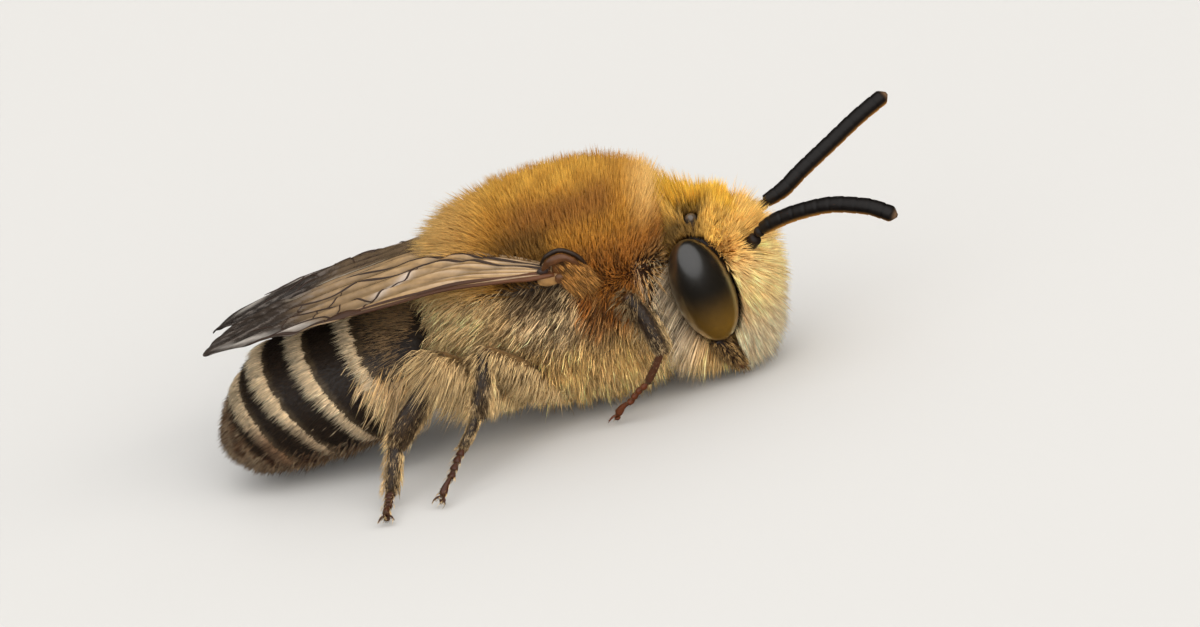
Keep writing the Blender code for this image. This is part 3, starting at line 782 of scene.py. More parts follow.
# veins as plan routes (x, distance from the middle line), with the half width at each end
FOREWING_VEINS = (
    (0.036, 0.028, (
        (-0.24, 1.94), (-0.90, 2.04), (-2.00, 2.06), (-3.00, 2.03), (-3.80, 1.97), (-4.50, 1.86),
    )),
    (0.028, 0.016, ((-4.50, 1.86), (-5.00, 1.74), (-5.60, 1.54), (-6.10, 1.35))),
    (0.023, 0.018, ((-0.30, 1.88), (-1.20, 1.94), (-2.50, 1.94), (-3.40, 1.90), (-4.05, 1.89))),
    (0.024, 0.015, (
        (-0.30, 1.82), (-1.20, 1.60), (-1.85, 1.30), (-2.72, 1.02), (-3.30, 0.92), (-3.95, 0.80),
    )),
    (0.020, 0.011, (
        (-0.30, 1.78), (-1.20, 1.46), (-1.90, 1.12), (-2.45, 0.86), (-3.20, 0.60), (-4.20, 0.44),
    )),
    (0.018, 0.015, ((-3.75, 1.87), (-3.58, 1.64), (-3.30, 1.42), (-2.95, 1.22), (-2.75, 1.03))),
    (0.015, 0.012, ((-3.95, 0.80), (-4.50, 0.90), (-5.10, 0.81), (-5.60, 0.62))),
    (0.016, 0.010, (
        (-3.62, 1.66), (-4.00, 1.44), (-4.46, 1.32), (-5.00, 1.20), (-5.50, 1.05), (-6.10, 0.86),
    )),
    (0.015, 0.011, ((-4.22, 1.86), (-4.60, 1.60), (-5.10, 1.52), (-5.60, 1.50), (-6.10, 1.46))),
    (0.014, 0.012, ((-4.36, 1.76), (-4.24, 1.58), (-4.22, 1.38))),
    (0.014, 0.012, ((-4.78, 1.57), (-4.70, 1.42), (-4.72, 1.26))),
    (0.014, 0.011, ((-5.32, 1.51), (-5.42, 1.34), (-5.28, 1.12))),
    (0.014, 0.011, ((-4.50, 1.31), (-4.30, 1.10), (-4.26, 0.88))),
    (0.014, 0.011, ((-5.16, 1.16), (-5.00, 1.02), (-5.14, 0.92), (-5.02, 0.82))),
)
HINDWING_VEINS = (
    (0.018, 0.010, ((-2.60, 1.14), (-3.20, 1.14), (-4.00, 1.06), (-4.90, 0.86))),
    (0.022, 0.012, ((-2.60, 0.76), (-3.20, 0.62), (-4.00, 0.46), (-5.00, 0.30))),
    (0.018, 0.014, ((-3.90, 1.07), (-4.02, 0.78), (-3.98, 0.46))),
)


def root_rib(x, y):
    """The phase of the fine ribs that run out from the wing's root, at plan points."""
    inner, outer = along(WING_FOLD, x)[:, 0], along(WING_OUTER, x)[:, 0]
    return (y - inner) / (outer - inner) * math.tau * RIBS


def wing_height(x, y, left):
    """Height of the folded wings' upper face, with the pleats between the veins."""
    slope = np.clip(y / along(WING_OUTER, x)[:, 0], 0, 1.02) ** 1.5
    brow = along(WING_BROW, x)[:, 0] - np.where(left, along(WING_SETTLE, x)[:, 0], 0)
    height = along(WING_RIDGE, x)[:, 0] * (1 - slope) + brow * slope
    spread = soften(-x, 0.5, 2.2) * (1 - 0.75 * soften(-x, 5.4, 6.6))
    pleat = 0.030 * np.cos(y * math.tau / PLEAT + 0.30 * x)
    pleat = pleat + 0.010 * np.sin(y * math.tau / FINE_PLEAT - 0.8 * x)
    rib = 0.013 * np.cos(root_rib(x, y)) * soften(-x, 0.3, 0.8) * (1 - soften(-x, 2.6, 4.4))
    crumple = 0.005 * soften(-x, 4.6, 6.0) * np.sin(5.0 * x + 9 * y) * np.sin(11 * y - 3 * x)
    return height + spread * pleat + rib + crumple


def film(inner_keys, outer_keys, first, last, rows=150, columns=48):
    """A closed sheet between two plan edges, flat at first: points of the left wing and faces."""
    x = np.repeat(first + (last - first) * np.linspace(0, 1, rows) ** 1.6, columns)
    share = np.tile(np.linspace(0, 1, columns), rows)
    inner, outer = along(inner_keys, x)[:, 0], along(outer_keys, x)[:, 0]
    upper = np.stack([x, inner + (outer - inner) * share, np.zeros(len(x))], 1)
    lower = upper - (0, 0, FILM_THICKNESS)
    grid = np.arange(rows * columns).reshape(rows, columns)
    quads = np.stack([grid[:-1, :-1], grid[:-1, 1:], grid[1:, 1:], grid[1:, :-1]], -1).reshape(-1, 4)
    rim = np.concatenate([grid[0, :], grid[1:, -1], grid[-1, -2::-1], grid[-2:0:-1, 0]])
    wall = np.stack([rim, np.roll(rim, -1), np.roll(rim, -1) + len(upper), rim + len(upper)], 1)
    faces = np.concatenate([quads, quads[:, ::-1] + len(upper), wall])
    return np.concatenate([upper, lower]), faces.tolist()


def vein_tubes(veins):
    """Round tubes along the veins, flat at first, that thin out towards their ends."""
    tubes = []
    for start, end, route in veins:
        flat = [(x, y, 0.0) for x, y in route]
        half = [(0, start), (0.95, end), (1, end * 0.4)]
        tubes.append(sweep(flat, half, half, rows=44, count=8)[:2])
    return joined(tubes)


def laid(points, side, drop):
    """Flat wing points laid on the folded wing of one side."""
    rise = wing_height(points[:, 0], points[:, 1], side > 0) - drop
    back = 0 * rise
    if side > 0:
        rise -= LEFT_DROP * soften(1.3 - points[:, 1], 0, 0.8)
        back = -LEFT_REACH * soften(-points[:, 0], 5.0, 7.0)
    return sided(points + np.stack([back, 0 * rise, rise], 1), side)


def film_colour(points):
    """Amber brown near the root, smoky at the tip, with painted highlights (glints, a gleam, a pale
    hem along the fold, the root's ribs, the wrinkles), painted shade between the ribs and in the
    pleats, and the left pair darkened as painted shade.
    """
    x, reach = points[:, 0], np.abs(points[:, 1])
    inner, outer = along(WING_FOLD, x)[:, 0], along(WING_OUTER, x)[:, 0]
    left_pair = points[:, 1] > -0.1
    # painted highlights: a glint, a gleam near the outer edge, a pale hem along the fold, the ribs' crests
    # and the wrinkles
    painted_glint = np.exp(-((x + 3.2) ** 2 / 0.16 + (reach - 1.36 + 0.62 * (x + 3.2)) ** 2 / 0.010))
    painted_gleam = soften(-x, 4.5, 5.0) * (1 - soften(-x, 6.5, 6.9)) * np.exp(-((outer - reach - 0.16) / 0.09) ** 2)
    hem_highlight = np.exp(-((reach - inner - 0.03) / 0.03) ** 2) * soften(-x, 3.4, 3.9) * (1 - soften(-x, 5.0, 5.6))
    wrinkle_glint = soften(-x, 3.9, 5.0) * soften(wave(points * (0.22, 1, 1), 0.14, 61), 0.1, 0.6)
    root = soften(x, -3.4, -1.8)
    rib = np.cos(root_rib(x, reach))
    rib_highlight = root * soften(rib, 0.2, 0.9)
    colour = hues(
        plain(srgb(172, 140, 98), points),
        (srgb(146, 120, 88), soften(-x, 2.4, 4.2)),
        (srgb(60, 51, 44), soften(-x, 4.4, 5.6)),
        # painted shade: the left pair darker than the right, though the film is the same
        (srgb(64, 54, 46), 0.7 * left_pair),
        (srgb(52, 45, 40), left_pair * soften(-x, 4.4, 5.4)),
        # painted highlights on the film
        (srgb(226, 212, 200), 0.85 * painted_glint),
        (srgb(190, 182, 172), 0.85 * painted_gleam),
        (srgb(214, 200, 176), 0.8 * hem_highlight),
        (srgb(204, 184, 164), 0.35 * rib_highlight),
        (srgb(140, 130, 122), 0.4 * wrinkle_glint),
        # painted shade between the root's ribs
        (srgb(70, 48, 34), 0.6 * root * soften(-rib, 0.5, 1.0)),
    )
    # painted shade in the pleats' valleys
    pleat_shade = 0.5 - 0.5 * np.cos(reach * math.tau / PLEAT + 0.30 * x)
    return colour * (1 - 0.38 * pleat_shade * soften(-x, 0.3, 1.0) + 0.16 * wave(points, 0.45, 12))[:, None]


def vein_colour(points):
    """Dark brown, and russet along the front edge towards the root."""
    x, reach = points[:, 0], np.abs(points[:, 1])
    front = soften(reach - along(WING_OUTER, x)[:, 0], -0.22, -0.08) * soften(x, -5.0, -3.0)
    root = front * soften(x, -2.4, -0.6)
    return hues(
        plain(srgb(52, 36, 26), points), (srgb(70, 42, 24), 0.9 * front), (srgb(92, 54, 28), 0.7 * root),
    )


def make_wings():
    clear = tinted_finish("wing_film", 0.24, Specular_IOR_Level=0.5, Alpha=0.9)
    add_bump(clear, 9000, 0.000010, "ShaderNodeTexNoise", "Fac")
    horn = tinted_finish("vein_horn", 0.35, Specular_IOR_Level=0.45)
    add_bump(horn, 14000, 0.000004, "ShaderNodeTexNoise", "Fac")
    stigma_route = [(x, y, 0.0) for x, y in STIGMA]
    stigma = sweep(stigma_route, STIGMA_HALF, flatter(STIGMA_HALF, 0.5), rows=24, count=16)[:2]
    hindwing = film(HINDWING_INNER, HINDWING_OUTER, HINDWING_TIP, HINDWING_ROOT, rows=90, columns=32)
    shapes = {
        "forewing_film": (film(WING_FOLD, WING_OUTER, WING_TIP, WING_ROOT), 0.0, clear),
        "hindwing_film": (hindwing, HINDWING_DROP, clear),
        "forewing_veins": (vein_tubes(FOREWING_VEINS), 0.0, horn),
        "hindwing_veins": (vein_tubes(HINDWING_VEINS), HINDWING_DROP, horn),
        "wing_stigma": (stigma, 0.0, horn),
    }
    for side_name, side in SIDES.items():
        if side > 0:
            shapes["forewing_film"] = (film(LEFT_FOLD, WING_OUTER, WING_TIP, WING_ROOT), 0.0, clear)
        for name, ((flat, faces), drop, finish) in shapes.items():
            spots = laid(flat, side, drop)
            piece = mesh_object(f"{name}_{side_name}", spots, faces)
            tint(piece, film_colour(spots) if finish is clear else vein_colour(spots))
            piece.data.materials.append(finish)
            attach(piece, "root")
            if name == "forewing_film":
                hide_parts("forewing_" + side_name)
            if name == "hindwing_film":
                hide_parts("hindwing_" + side_name)


make_wings()


# ------------------------------------------------------------------ legs
# Each leg is a chain of hard tubes: femur, tibia, long first foot joint, then four heart-shaped
# foot joints and a slender last one with two claws and a pad between them. The femora and
# tibiae are near black, with the femora's horn painted lighter brown as light in the gaps of
# their hair, and the feet russet.
# hip, knee, ankle, heel and claws of the left legs
LEG_JOINTS = {
    "fore": (
        (1.05, 0.85, 0.95), (0.86, 1.75, 2.56), (1.22, 1.93, 1.36),
        (0.78, 1.84, 0.78), (-0.02, 1.52, 0.16),
    ),
    "mid": (
        (-0.95, 1.00, 0.75), (-1.80, 2.36, 2.42), (-2.17, 2.62, 1.28),
        (-2.60, 2.84, 0.76), (-3.12, 3.52, 0.16),
    ),
    "hind": (
        (-1.85, 0.95, 0.85), (-2.62, 2.32, 2.50), (-3.79, 2.64, 1.06),
        (-4.08, 2.96, 0.30), (-4.12, 3.74, 0.16),
    ),
}
LEG_KNEE_DROP = 0.10            # how far the knees lie inside the tops of their joints
FEMUR_HALF = ((0, 0.16), (0.15, 0.20), (0.5, 0.21), (0.85, 0.15), (0.97, 0.12), (1, 0.05))
TIBIA_HALF = {
    "fore": ((0, 0.06), (0.04, 0.11), (0.3, 0.14), (0.8, 0.16), (0.97, 0.14), (1, 0.06)),
    "mid": ((0, 0.06), (0.04, 0.11), (0.3, 0.15), (0.8, 0.18), (0.97, 0.15), (1, 0.06)),
    "hind": ((0, 0.06), (0.04, 0.11), (0.3, 0.16), (0.75, 0.22), (0.95, 0.19), (1, 0.07)),
}
SHANK_HALF = {
    "fore": ((0, 0.04), (0.08, 0.06), (0.5, 0.07), (0.92, 0.07), (1, 0.03)),
    "mid": ((0, 0.05), (0.08, 0.08), (0.5, 0.09), (0.92, 0.085), (1, 0.04)),
    "hind": ((0, 0.06), (0.08, 0.12), (0.5, 0.135), (0.92, 0.11), (1, 0.04)),
}
TIBIA_DEPTH = {"fore": 0.85, "mid": 0.85, "hind": 0.62}     # depth as a share of the width
FOOT_JOINTS = 4
HEART_STEP, HEART_LENGTH, SLIM_START = 0.155, 0.165, 0.62     # as shares of the foot's length
HEART_HALF = ((0, 0.045), (0.25, 0.058), (0.75, 0.085), (0.93, 0.08), (1, 0.04))
SLIM_HALF = ((0, 0.035), (0.3, 0.045), (0.85, 0.075), (1, 0.04))
PAD_RADII = (0.06, 0.06, 0.04)
CLAW_LENGTH, CLAW_RADIUS, CLAW_DROP = 0.20, 0.026, 0.35
# painted light: lighter than the femur's near-black horn, so the shaded gaps in its hair don't read black
FEMUR_PAINTED_FILL = srgb(98, 74, 46)
LEG_HORN = srgb(38, 28, 20)
LEG_ENDS = srgb(104, 66, 38)
FORE_SHANK = srgb(72, 42, 25)
FORE_FOOT = srgb(90, 47, 25)
REAR_FOOT = srgb(64, 36, 24)


def hook(start, way, drop, length, radius):
    """A curved claw from start, going out along way and bending down."""
    start, way = np.asarray(start, float), np.asarray(way, float) / np.linalg.norm(way)
    route = []
    for share in (0, 0.3, 0.6, 0.85, 1):
        bend = np.array((0, 0, 0.10 * math.sin(share * 2.6) - drop * share * share))
        route.append(start + way * length * share + bend * length)
    half = [(0, radius), (0.6, radius * 0.7), (1, radius * 0.12)]
    return sweep(route, half, half, rows=12, count=8)[:2]


def foot_parts(start, end):
    """Four heart-shaped joints, the slender last joint, the pad and the two claws."""
    start, end = np.asarray(start, float), np.asarray(end, float)
    way = (end - start) / np.linalg.norm(end - start)
    across = np.cross(way, (0, 0, 1.0))
    across /= np.linalg.norm(across)
    reach = np.linalg.norm(end - start) - 0.10
    parts = []
    heart_depth = flatter(HEART_HALF, 0.72)
    for number in range(FOOT_JOINTS):
        a = start + way * reach * number * HEART_STEP
        b = start + way * reach * (number * HEART_STEP + HEART_LENGTH)
        sag = np.array((0, 0, 0.02 * math.sin(number * 1.4)))
        parts.append(sweep([a, (a + b) / 2 + sag, b], HEART_HALF, heart_depth, rows=12, count=12)[:2])
    a = start + way * reach * SLIM_START
    b = end - way * 0.08
    parts.append(sweep([a, (a + b) / 2 + (0, 0, 0.03), b], SLIM_HALF, SLIM_HALF, rows=14, count=12)[:2])
    pad, pad_faces = dome(14, 10)
    parts.append((pad * PAD_RADII + b + way * 0.03 - (0, 0, 0.05), pad_faces))
    for lean in (-1, 1):
        out = way * (1, 1, 0.2) + across * lean * 0.85
        parts.append(hook(b + across * lean * 0.03, out, CLAW_DROP, CLAW_LENGTH, CLAW_RADIUS))
    return joined(parts)


def leg_parts(pair, hip, knee, ankle, heel, claw):
    """The four parts of a left leg, from the hip down."""
    coxa = hip + (hip - knee) * 0.12
    bow = np.cross(ankle - knee, (0, 1.0, 0))
    bow = bow / np.linalg.norm(bow) * 0.05
    femur = [coxa, hip, (hip + knee) / 2 + (0, 0.04, 0.05), knee]
    tibia = [knee + (knee - ankle) * 0.02, (knee + ankle) / 2 + bow, ankle]
    tibia_half, tibia_depth = TIBIA_HALF[pair], flatter(TIBIA_HALF[pair], TIBIA_DEPTH[pair])
    shank = [ankle, (ankle + heel) / 2 + bow * 0.4, heel]
    shank_half, shank_depth = SHANK_HALF[pair], flatter(SHANK_HALF[pair], 0.7)
    out = (0, 1, 0)
    return {
        "femur": sweep(femur, FEMUR_HALF, flatter(FEMUR_HALF, 0.9), rows=40, count=20)[:2],
        "tibia": sweep(tibia, tibia_half, tibia_depth, rows=40, count=20, up=out)[:2],
        "basitarsus": sweep(shank, shank_half, shank_depth, rows=28, count=18, up=out)[:2],
        "foot": foot_parts(heel, claw),
    }


def leg_colour(pair, part, spots, knee, ankle):
    """Near black horn, paler where the parts of the leg meet, the femur lighter as painted light, and russet
    feet.
    """
    if part == "femur":
        # painted light on the femur's horn
        return plain(FEMUR_PAINTED_FILL, spots)
    if part == "foot":
        return plain(FORE_FOOT if pair == "fore" else REAR_FOOT, spots)
    ends = np.linalg.norm(spots - ankle, axis=1)
    if part == "tibia":
        ends = np.minimum(ends, np.linalg.norm(spots - knee, axis=1))
    fore_shank = part == "basitarsus" and pair == "fore"
    horn = plain(FORE_SHANK if fore_shank else LEG_HORN, spots)
    return hues(horn, (LEG_ENDS, soften(0.13 - ends, 0, 0.10) * 0.7))


def make_legs():
    finish = tinted_finish("leg_horn", 0.34, Specular_IOR_Level=0.5)
    add_bump(finish, 15000, 0.000008)
    made = {}
    for pair, joints in LEG_JOINTS.items():
        hip, knee, ankle, heel, claw = (np.asarray(j, float) for j in joints)
        knee = knee - (0, 0, LEG_KNEE_DROP)
        for side_name, side in SIDES.items():
            for part, (spots, faces) in leg_parts(pair, hip, knee, ankle, heel, claw).items():
                piece = mesh_object(f"{pair}_{part}_shell_{side_name}", sided(spots, side), faces)
                tint(piece, leg_colour(pair, part, spots, knee, ankle))
                piece.data.materials.append(finish)
                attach(piece, "root")
                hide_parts(f"{pair}_{part}_{side_name}")
                made[pair, part, side_name] = piece
    return made


legs = make_legs()


# ------------------------------------------------------------------ thorax coat
# The thorax wears dense upright branched hair: golden brown on the back, paler towards the
# waist, rusty about the neck, and long straw-coloured hair that hangs from the sides and belly.
ROOT_DEPTH = 0.03               # how far each hair is set into the skin
ROOT_SHADE_TINT = (1.0, 0.78, 0.56)   # painted shade: the brown a hair darkens to towards its root, in the coat's depth
PATCH = 0.003                   # size of a hair's patch on its coat's unwrap
ROOT_FADE = 0.8                 # how soon a hair reaches its own colour above its shaded root
TONE_SPREAD = 0.13              # how much single hairs differ in lightness
SHORTEST, LONGER = 0.72, 0.68   # the shortest hair as a share of its coat's length, and the range above
THINNEST, THICKEST = 0.75, 1.25 # single hairs as shares of their coat's thickness
LOCK_TURN = (31, 23)            # lean and pitch of the grid that parts the roots into locks
LOCK_JITTER = 0.22              # how far roots stray over its lines, as a share of a lock
LOCK_CODE = (1, 4099, 16769023) # makes one number of a lock's three places in the grid
# how far hair keeps from the hard parts: the eye as a share of its size, the rest in millimetres
EYE_MARGIN = 1.02
FLOOR_MARGIN = 0.02
CAP_MARGIN, RIM_MARGIN = 0.14, 0.07
JAW_MARGIN, SCAPE_MARGIN, LASH_MARGIN = 0.25, 0.15, 0.18
# a clear run over each ocellus, and its radius
OCELLUS_ROOM = {"front": (0.25, 0.10), "right": (0.4, 0.14), "left": (0.4, 0.14)}
JAW_RUN = ((2.12, 1.00, 0.92), (2.28, 0.84, 0.34))
GOLD = srgb(196, 138, 48)
# a lighter gold: painted rim light towards the top of the back, a plain lighter tone in the crown
GOLD_RIM = srgb(226, 176, 74)
SADDLE = srgb(152, 100, 44)
PALE_GOLD = srgb(242, 198, 122)
RUST = srgb(160, 98, 38)
STRAW = srgb(252, 208, 138)
LIGHT_STRAW = srgb(255, 222, 164)
BELLY_STRAW = srgb(255, 210, 130)
CAP_STRAW = srgb(206, 148, 76)
WHITE_GREY = srgb(240, 222, 190)
UMBER = srgb(62, 42, 24)


def surface_of(*things):
    """Corners and corner normals of the pieces' triangles, in the stance's millimetres."""
    corners, normals = [], []
    for thing in things:
        mesh = thing.data
        mesh.calc_loop_triangles()
        index = np.empty(len(mesh.loop_triangles) * 3, np.int32)
        mesh.loop_triangles.foreach_get("vertices", index)
        spots = np.empty(len(mesh.vertices) * 3)
        mesh.vertices.foreach_get("co", spots)
        facing = np.empty(len(mesh.vertices) * 3)
        mesh.vertices.foreach_get("normal", facing)
        spots = spots.reshape(-1, 3) / MM - (STANCE_X, 0, 0)
        corners.append(spots[index].reshape(-1, 3, 3))
        normals.append(facing.reshape(-1, 3)[index].reshape(-1, 3, 3))
    return np.concatenate(corners), np.concatenate(normals)


def unit(vectors):
    """Directions of length 1."""
    return vectors / np.maximum(np.linalg.norm(vectors, axis=-1, keepdims=True), 1e-9)


def roots_on(surface, density, count, chance):
    """Evenly scattered points and their normals on a surface, as dense as density() says."""
    corners, normals = surface
    area = np.linalg.norm(np.cross(corners[:, 1] - corners[:, 0], corners[:, 2] - corners[:, 0]), axis=1)
    heaped = np.cumsum(area * np.clip(density(corners.mean(1), unit(normals.mean(1))), 0, None))
    pick = np.searchsorted(heaped, (np.arange(count) + chance.random(count)) / count * heaped[-1])
    pick = np.clip(pick, 0, len(corners) - 1)
    u, v = chance.random((2, count))
    over = u + v > 1
    u[over], v[over] = 1 - u[over], 1 - v[over]
    share = np.stack([1 - u - v, u, v], 1)[..., None]
    return (corners[pick] * share).sum(1), unit((normals[pick] * share).sum(1))


def near_run(points, start, end, radius):
    """Whether points lie within radius of the straight run from start to end."""
    start, run = np.asarray(start, float), np.asarray(end, float) - start
    share = np.clip(((points - start) @ run) / (run @ run), 0, 1)
    return np.linalg.norm(points - (start + share[..., None] * run), axis=-1) < radius


def fouled(path, own):
    """Which hairs, given as points along each, run into a hard part other than their own."""
    bad = (eye_reach(path) < EYE_MARGIN).any(1) | (path[..., 2] < FLOOR_MARGIN).any(1)
    for name, centre in OCELLI.items():
        reach, room = OCELLUS_ROOM[name]
        bad |= near_run(path, centre, centre + unit(np.array(OCELLUS_FACES[name])) * reach, room).any(1)
    for side_name, side in SIDES.items():
        if own != "cap":
            cap = sided(TEGULA_CENTRE, side)
            bad |= near_run(path, cap - (0.14, 0, 0), cap + (0.10, 0, 0), CAP_MARGIN).any(1)
            rim = sided(TEGULA_RIM, side)
            for start, end in zip(rim, rim[1:]):
                bad |= near_run(path, start, end, RIM_MARGIN).any(1)
        if own != "jaw":
            bad |= near_run(path, *sided(JAW_RUN, side), JAW_MARGIN).any(1)
        scape, lash = sided(SCAPE_PATH, side), LASH_PATHS[side_name]
        bad |= near_run(path, scape[0], scape[-1], SCAPE_MARGIN).any(1)
        bad |= near_run(path, lash[0], lash[2], LASH_MARGIN).any(1)
    x, y = path[..., 0], np.abs(path[..., 1])
    over = (x < -0.4) & (x > -7) & (y < along(WING_OUTER, x.ravel())[:, 0].reshape(x.shape))
    over &= y > along(WING_FOLD, x.ravel())[:, 0].reshape(x.shape)
    above = path[..., 2] > wing_height(x.ravel(), y.ravel(), path[..., 1].ravel() > 0).reshape(x.shape)
    bad |= (over & above).any(1) & (over & ~above).any(1)
    return bad


def hair_paths(roots, normals, lie, length, width, depth, segments, scatter, curl, chance):
    """Points along each hair, from its set-in root to its tip, and each hair's thickness."""
    count = len(roots)
    first, last = lie(roots, normals)
    first = unit(unit(first) + chance.normal(0, scatter, (count, 3)))
    last = unit(unit(last) + chance.normal(0, scatter, (count, 3)))
    span = length(roots, normals) * (SHORTEST + LONGER * chance.random(count) ** 3)
    thick = width * chance.uniform(THINNEST, THICKEST, count)
    path = [roots - normals * depth]
    swing = chance.normal(0, curl, (count, 3))
    for step in range(segments):
        share = (step + 0.5) / segments
        way = unit(first * (1 - share) + last * share + swing * math.sin(math.pi * 1.6 * share))
        path.append(path[-1] + way * (span / segments)[:, None])
    return np.stack(path, 1), thick


def draw_into_locks(path, roots, lock, gather, chance):
    """Bends hairs rooted close together towards one another, most at the tip.

    Gives the number of each hair's lock, and how many locks there are.
    """
    stray = chance.normal(0, lock * LOCK_JITTER, roots.shape)
    cell = np.floor((turned(roots, *LOCK_TURN) + stray) / lock).astype(int)
    _, bunch = np.unique(cell @ LOCK_CODE, return_inverse=True)
    size = np.bincount(bunch)
    segments = path.shape[1] - 1
    for step in range(1, segments + 1):
        middle = np.stack([np.bincount(bunch, path[:, step, k]) for k in range(3)], 1) / size[:, None]
        path[:, step] += (middle[bunch] - path[:, step]) * gather * (step / segments) ** 1.2
    return bunch, len(size)


def hair_corners(path, normals, thick, turn, belts):
    """Each hair's corners: its root, a ring of three at each belt, and its tip.

    A hair of one segment has its ring at the root itself.
    """
    rings = [] if 0 in belts else [path[:, 0]]
    for step in belts:
        way = unit(path[:, step + 1] - path[:, step - 1 if step else 0])
        side = unit(np.cross(way, normals + 0.01))
        over = np.cross(way, side)
        radius = thick / 2 * (1.0, 1.0, 0.75)[step]
        for corner in range(3):
            angle = turn + corner * math.tau / 3
            spread = np.cos(angle)[:, None] * side + np.sin(angle)[:, None] * over
            rings.append(path[:, step] + spread * radius[:, None])
    rings.append(path[:, -1])
    return np.stack(rings, 1)


def hair_faces(belts):
    """The triangles of one closed hair, as numbers of its corners."""
    if 0 in belts:
        lead, faces = 0, [(0, 2, 1)]
    else:
        lead, faces = 1, [(0, 1 + (c + 1) % 3, 1 + c) for c in range(3)]
    for belt in range(len(belts) - 1):
        for corner in range(3):
            low, high = lead + belt * 3 + corner, lead + belt * 3 + (corner + 1) % 3
            faces += [(low, high, high + 3), (low, high + 3, low + 3)]
    last = lead + (len(belts) - 1) * 3
    tip = last + 3
    return np.asarray(faces + [(last + corner, last + (corner + 1) % 3, tip) for corner in range(3)])


def hair_mesh(name, corners, faces):
    """A coat's mesh, and the corner numbers of its triangles, all hairs being alike."""
    count, per, _ = corners.shape
    triangles = (np.arange(count)[:, None, None] * per + faces[None]).reshape(-1, 3)
    mesh = bpy.data.meshes.new(name)
    mesh.vertices.add(count * per)
    mesh.vertices.foreach_set("co", in_frame(corners.reshape(-1, 3)).ravel())
    mesh.loops.add(triangles.size)
    mesh.loops.foreach_set("vertex_index", triangles.ravel().astype(np.int32))
    mesh.polygons.add(len(triangles))
    mesh.polygons.foreach_set("loop_start", np.arange(0, triangles.size, 3, dtype=np.int32))
    mesh.update(calc_edges=True)
    mesh.shade_smooth()
    return mesh, triangles


def grow(name, surface, density, lie, length, colour, unwrap, *, count, width, seed, segments=2,
         lock=0.12, gather=0.35, scatter=0.16, curl=0.0, root_shade=0.55, streak=0.10,
         depth=ROOT_DEPTH, own=""):
    """A coat piece: closed, tapering, three-sided hairs, bent along their lie and drawn into locks.

    lie() gives each hair's first direction and the direction its tip bends to; unwrap() gives its
    root's place on an unwrap of the skin. The points along each hair are handed back.
    """
    chance = np.random.default_rng(seed)
    roots, normals = roots_on(surface, density, count, chance)
    path, thick = hair_paths(roots, normals, lie, length, width, depth, segments, scatter, curl, chance)
    bunch, locks = draw_into_locks(path, roots, lock, gather, chance)
    keep = ~fouled(path, own)
    path, thick, normals, roots, bunch = path[keep], thick[keep], normals[keep], roots[keep], bunch[keep]
    tone = 1 + chance.normal(0, streak, locks).clip(-0.5, 0.5)
    turn = chance.uniform(0, math.tau, len(path))
    belts = [0] if segments == 1 else list(range(1, segments))
    mesh, triangles = hair_mesh(name, hair_corners(path, normals, thick, turn, belts), hair_faces(belts))
    lead = [] if segments == 1 else [0]
    up_hair = np.array(lead + [step for step in belts for _ in range(3)] + [segments]) / segments
    round_hair = np.array([0.5] * len(lead) + [0, 0.5, 1.0] * len(belts) + [0.5])
    patch = np.stack([round_hair, up_hair], 1) * PATCH
    spots = np.clip(unwrap(roots), 0, 1)[:, None] * (1 - PATCH) + patch[None]
    layer = mesh.uv_layers.new(name="OFBake")
    layer.data.foreach_set("uv", spots.reshape(-1, 2)[triangles.ravel()].astype(np.float32).ravel())
    piece = placed(name, mesh)
    shade = colour(roots, normals, chance)
    shade = shade * (1 + chance.normal(0, TONE_SPREAD, len(path)).clip(-0.35, 0.35))[:, None]
    shade = shade * tone[bunch][:, None]
    # painted shade: each hair darker and browner towards its root, deep in the coat
    root_shading = blend(root_shade * np.array(ROOT_SHADE_TINT), 1.0, up_hair ** ROOT_FADE)
    tint(piece, (shade[:, None] * root_shading[None]).reshape(-1, 3))
    mesh.materials.append(fur)
    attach(piece, "root")
    return path


fur = tinted_finish("fur_hair", 0.55, Specular_IOR_Level=0.3)
skin_surface = surface_of(skin)


# In the functions of the coats p are places on the skin and n the skin's outward directions.
# x, y and z are their parts.
THORAX_FROM, THORAX_TO = -2.55, 1.62


def on_thorax(p):
    return (p[:, 0] > THORAX_FROM) & (p[:, 0] < THORAX_TO)


def half_of(density, half):
    """The same density kept to one side of the bee's middle."""
    return lambda p, n: density(p, n) * (p[:, 1] * half > 0)


def thorax_unwrap(p):
    return np.stack([np.arctan2(p[:, 1], p[:, 2] - 2.3) / math.tau + 0.5, (p[:, 0] + 2.6) / 4.3], 1)


def beside_cheek(p):
    """How far points lie on the front of the thorax that the cheek hair hangs over."""
    return soften(p[:, 0], 0.95, 1.15) * soften(3.10 - p[:, 2], 0, 0.4) * soften(p[:, 2], 1.2, 1.5)


def back_density(p, n):
    lowest = 2.85 - 0.60 * soften(p[:, 0], 0.0, 0.6)
    return on_thorax(p) * soften(p[:, 2] + 0.25 * n[:, 2] - lowest, 0, 0.5) * (1 - 0.85 * beside_cheek(p))


def back_lie(p, n):
    x, _, z = p.T
    rear = soften(-x, 0.6, 2.4)
    up = 0.80 - 0.65 * rear - 0.45 * soften(3.5 - z, 0, 0.8) - 0.9 * soften(2.95 - z, 0, 0.6) * (1 - rear)
    flow = np.stack([0.20 - 1.25 * rear - 0.5 * soften(3.2 - z, 0, 0.6), 0 * rear, up], 1)
    way = n * 0.65 + flow
    return way, way + np.stack([-0.05 - 0.6 * rear, 0 * rear, 0.15 - 0.45 * rear], 1)


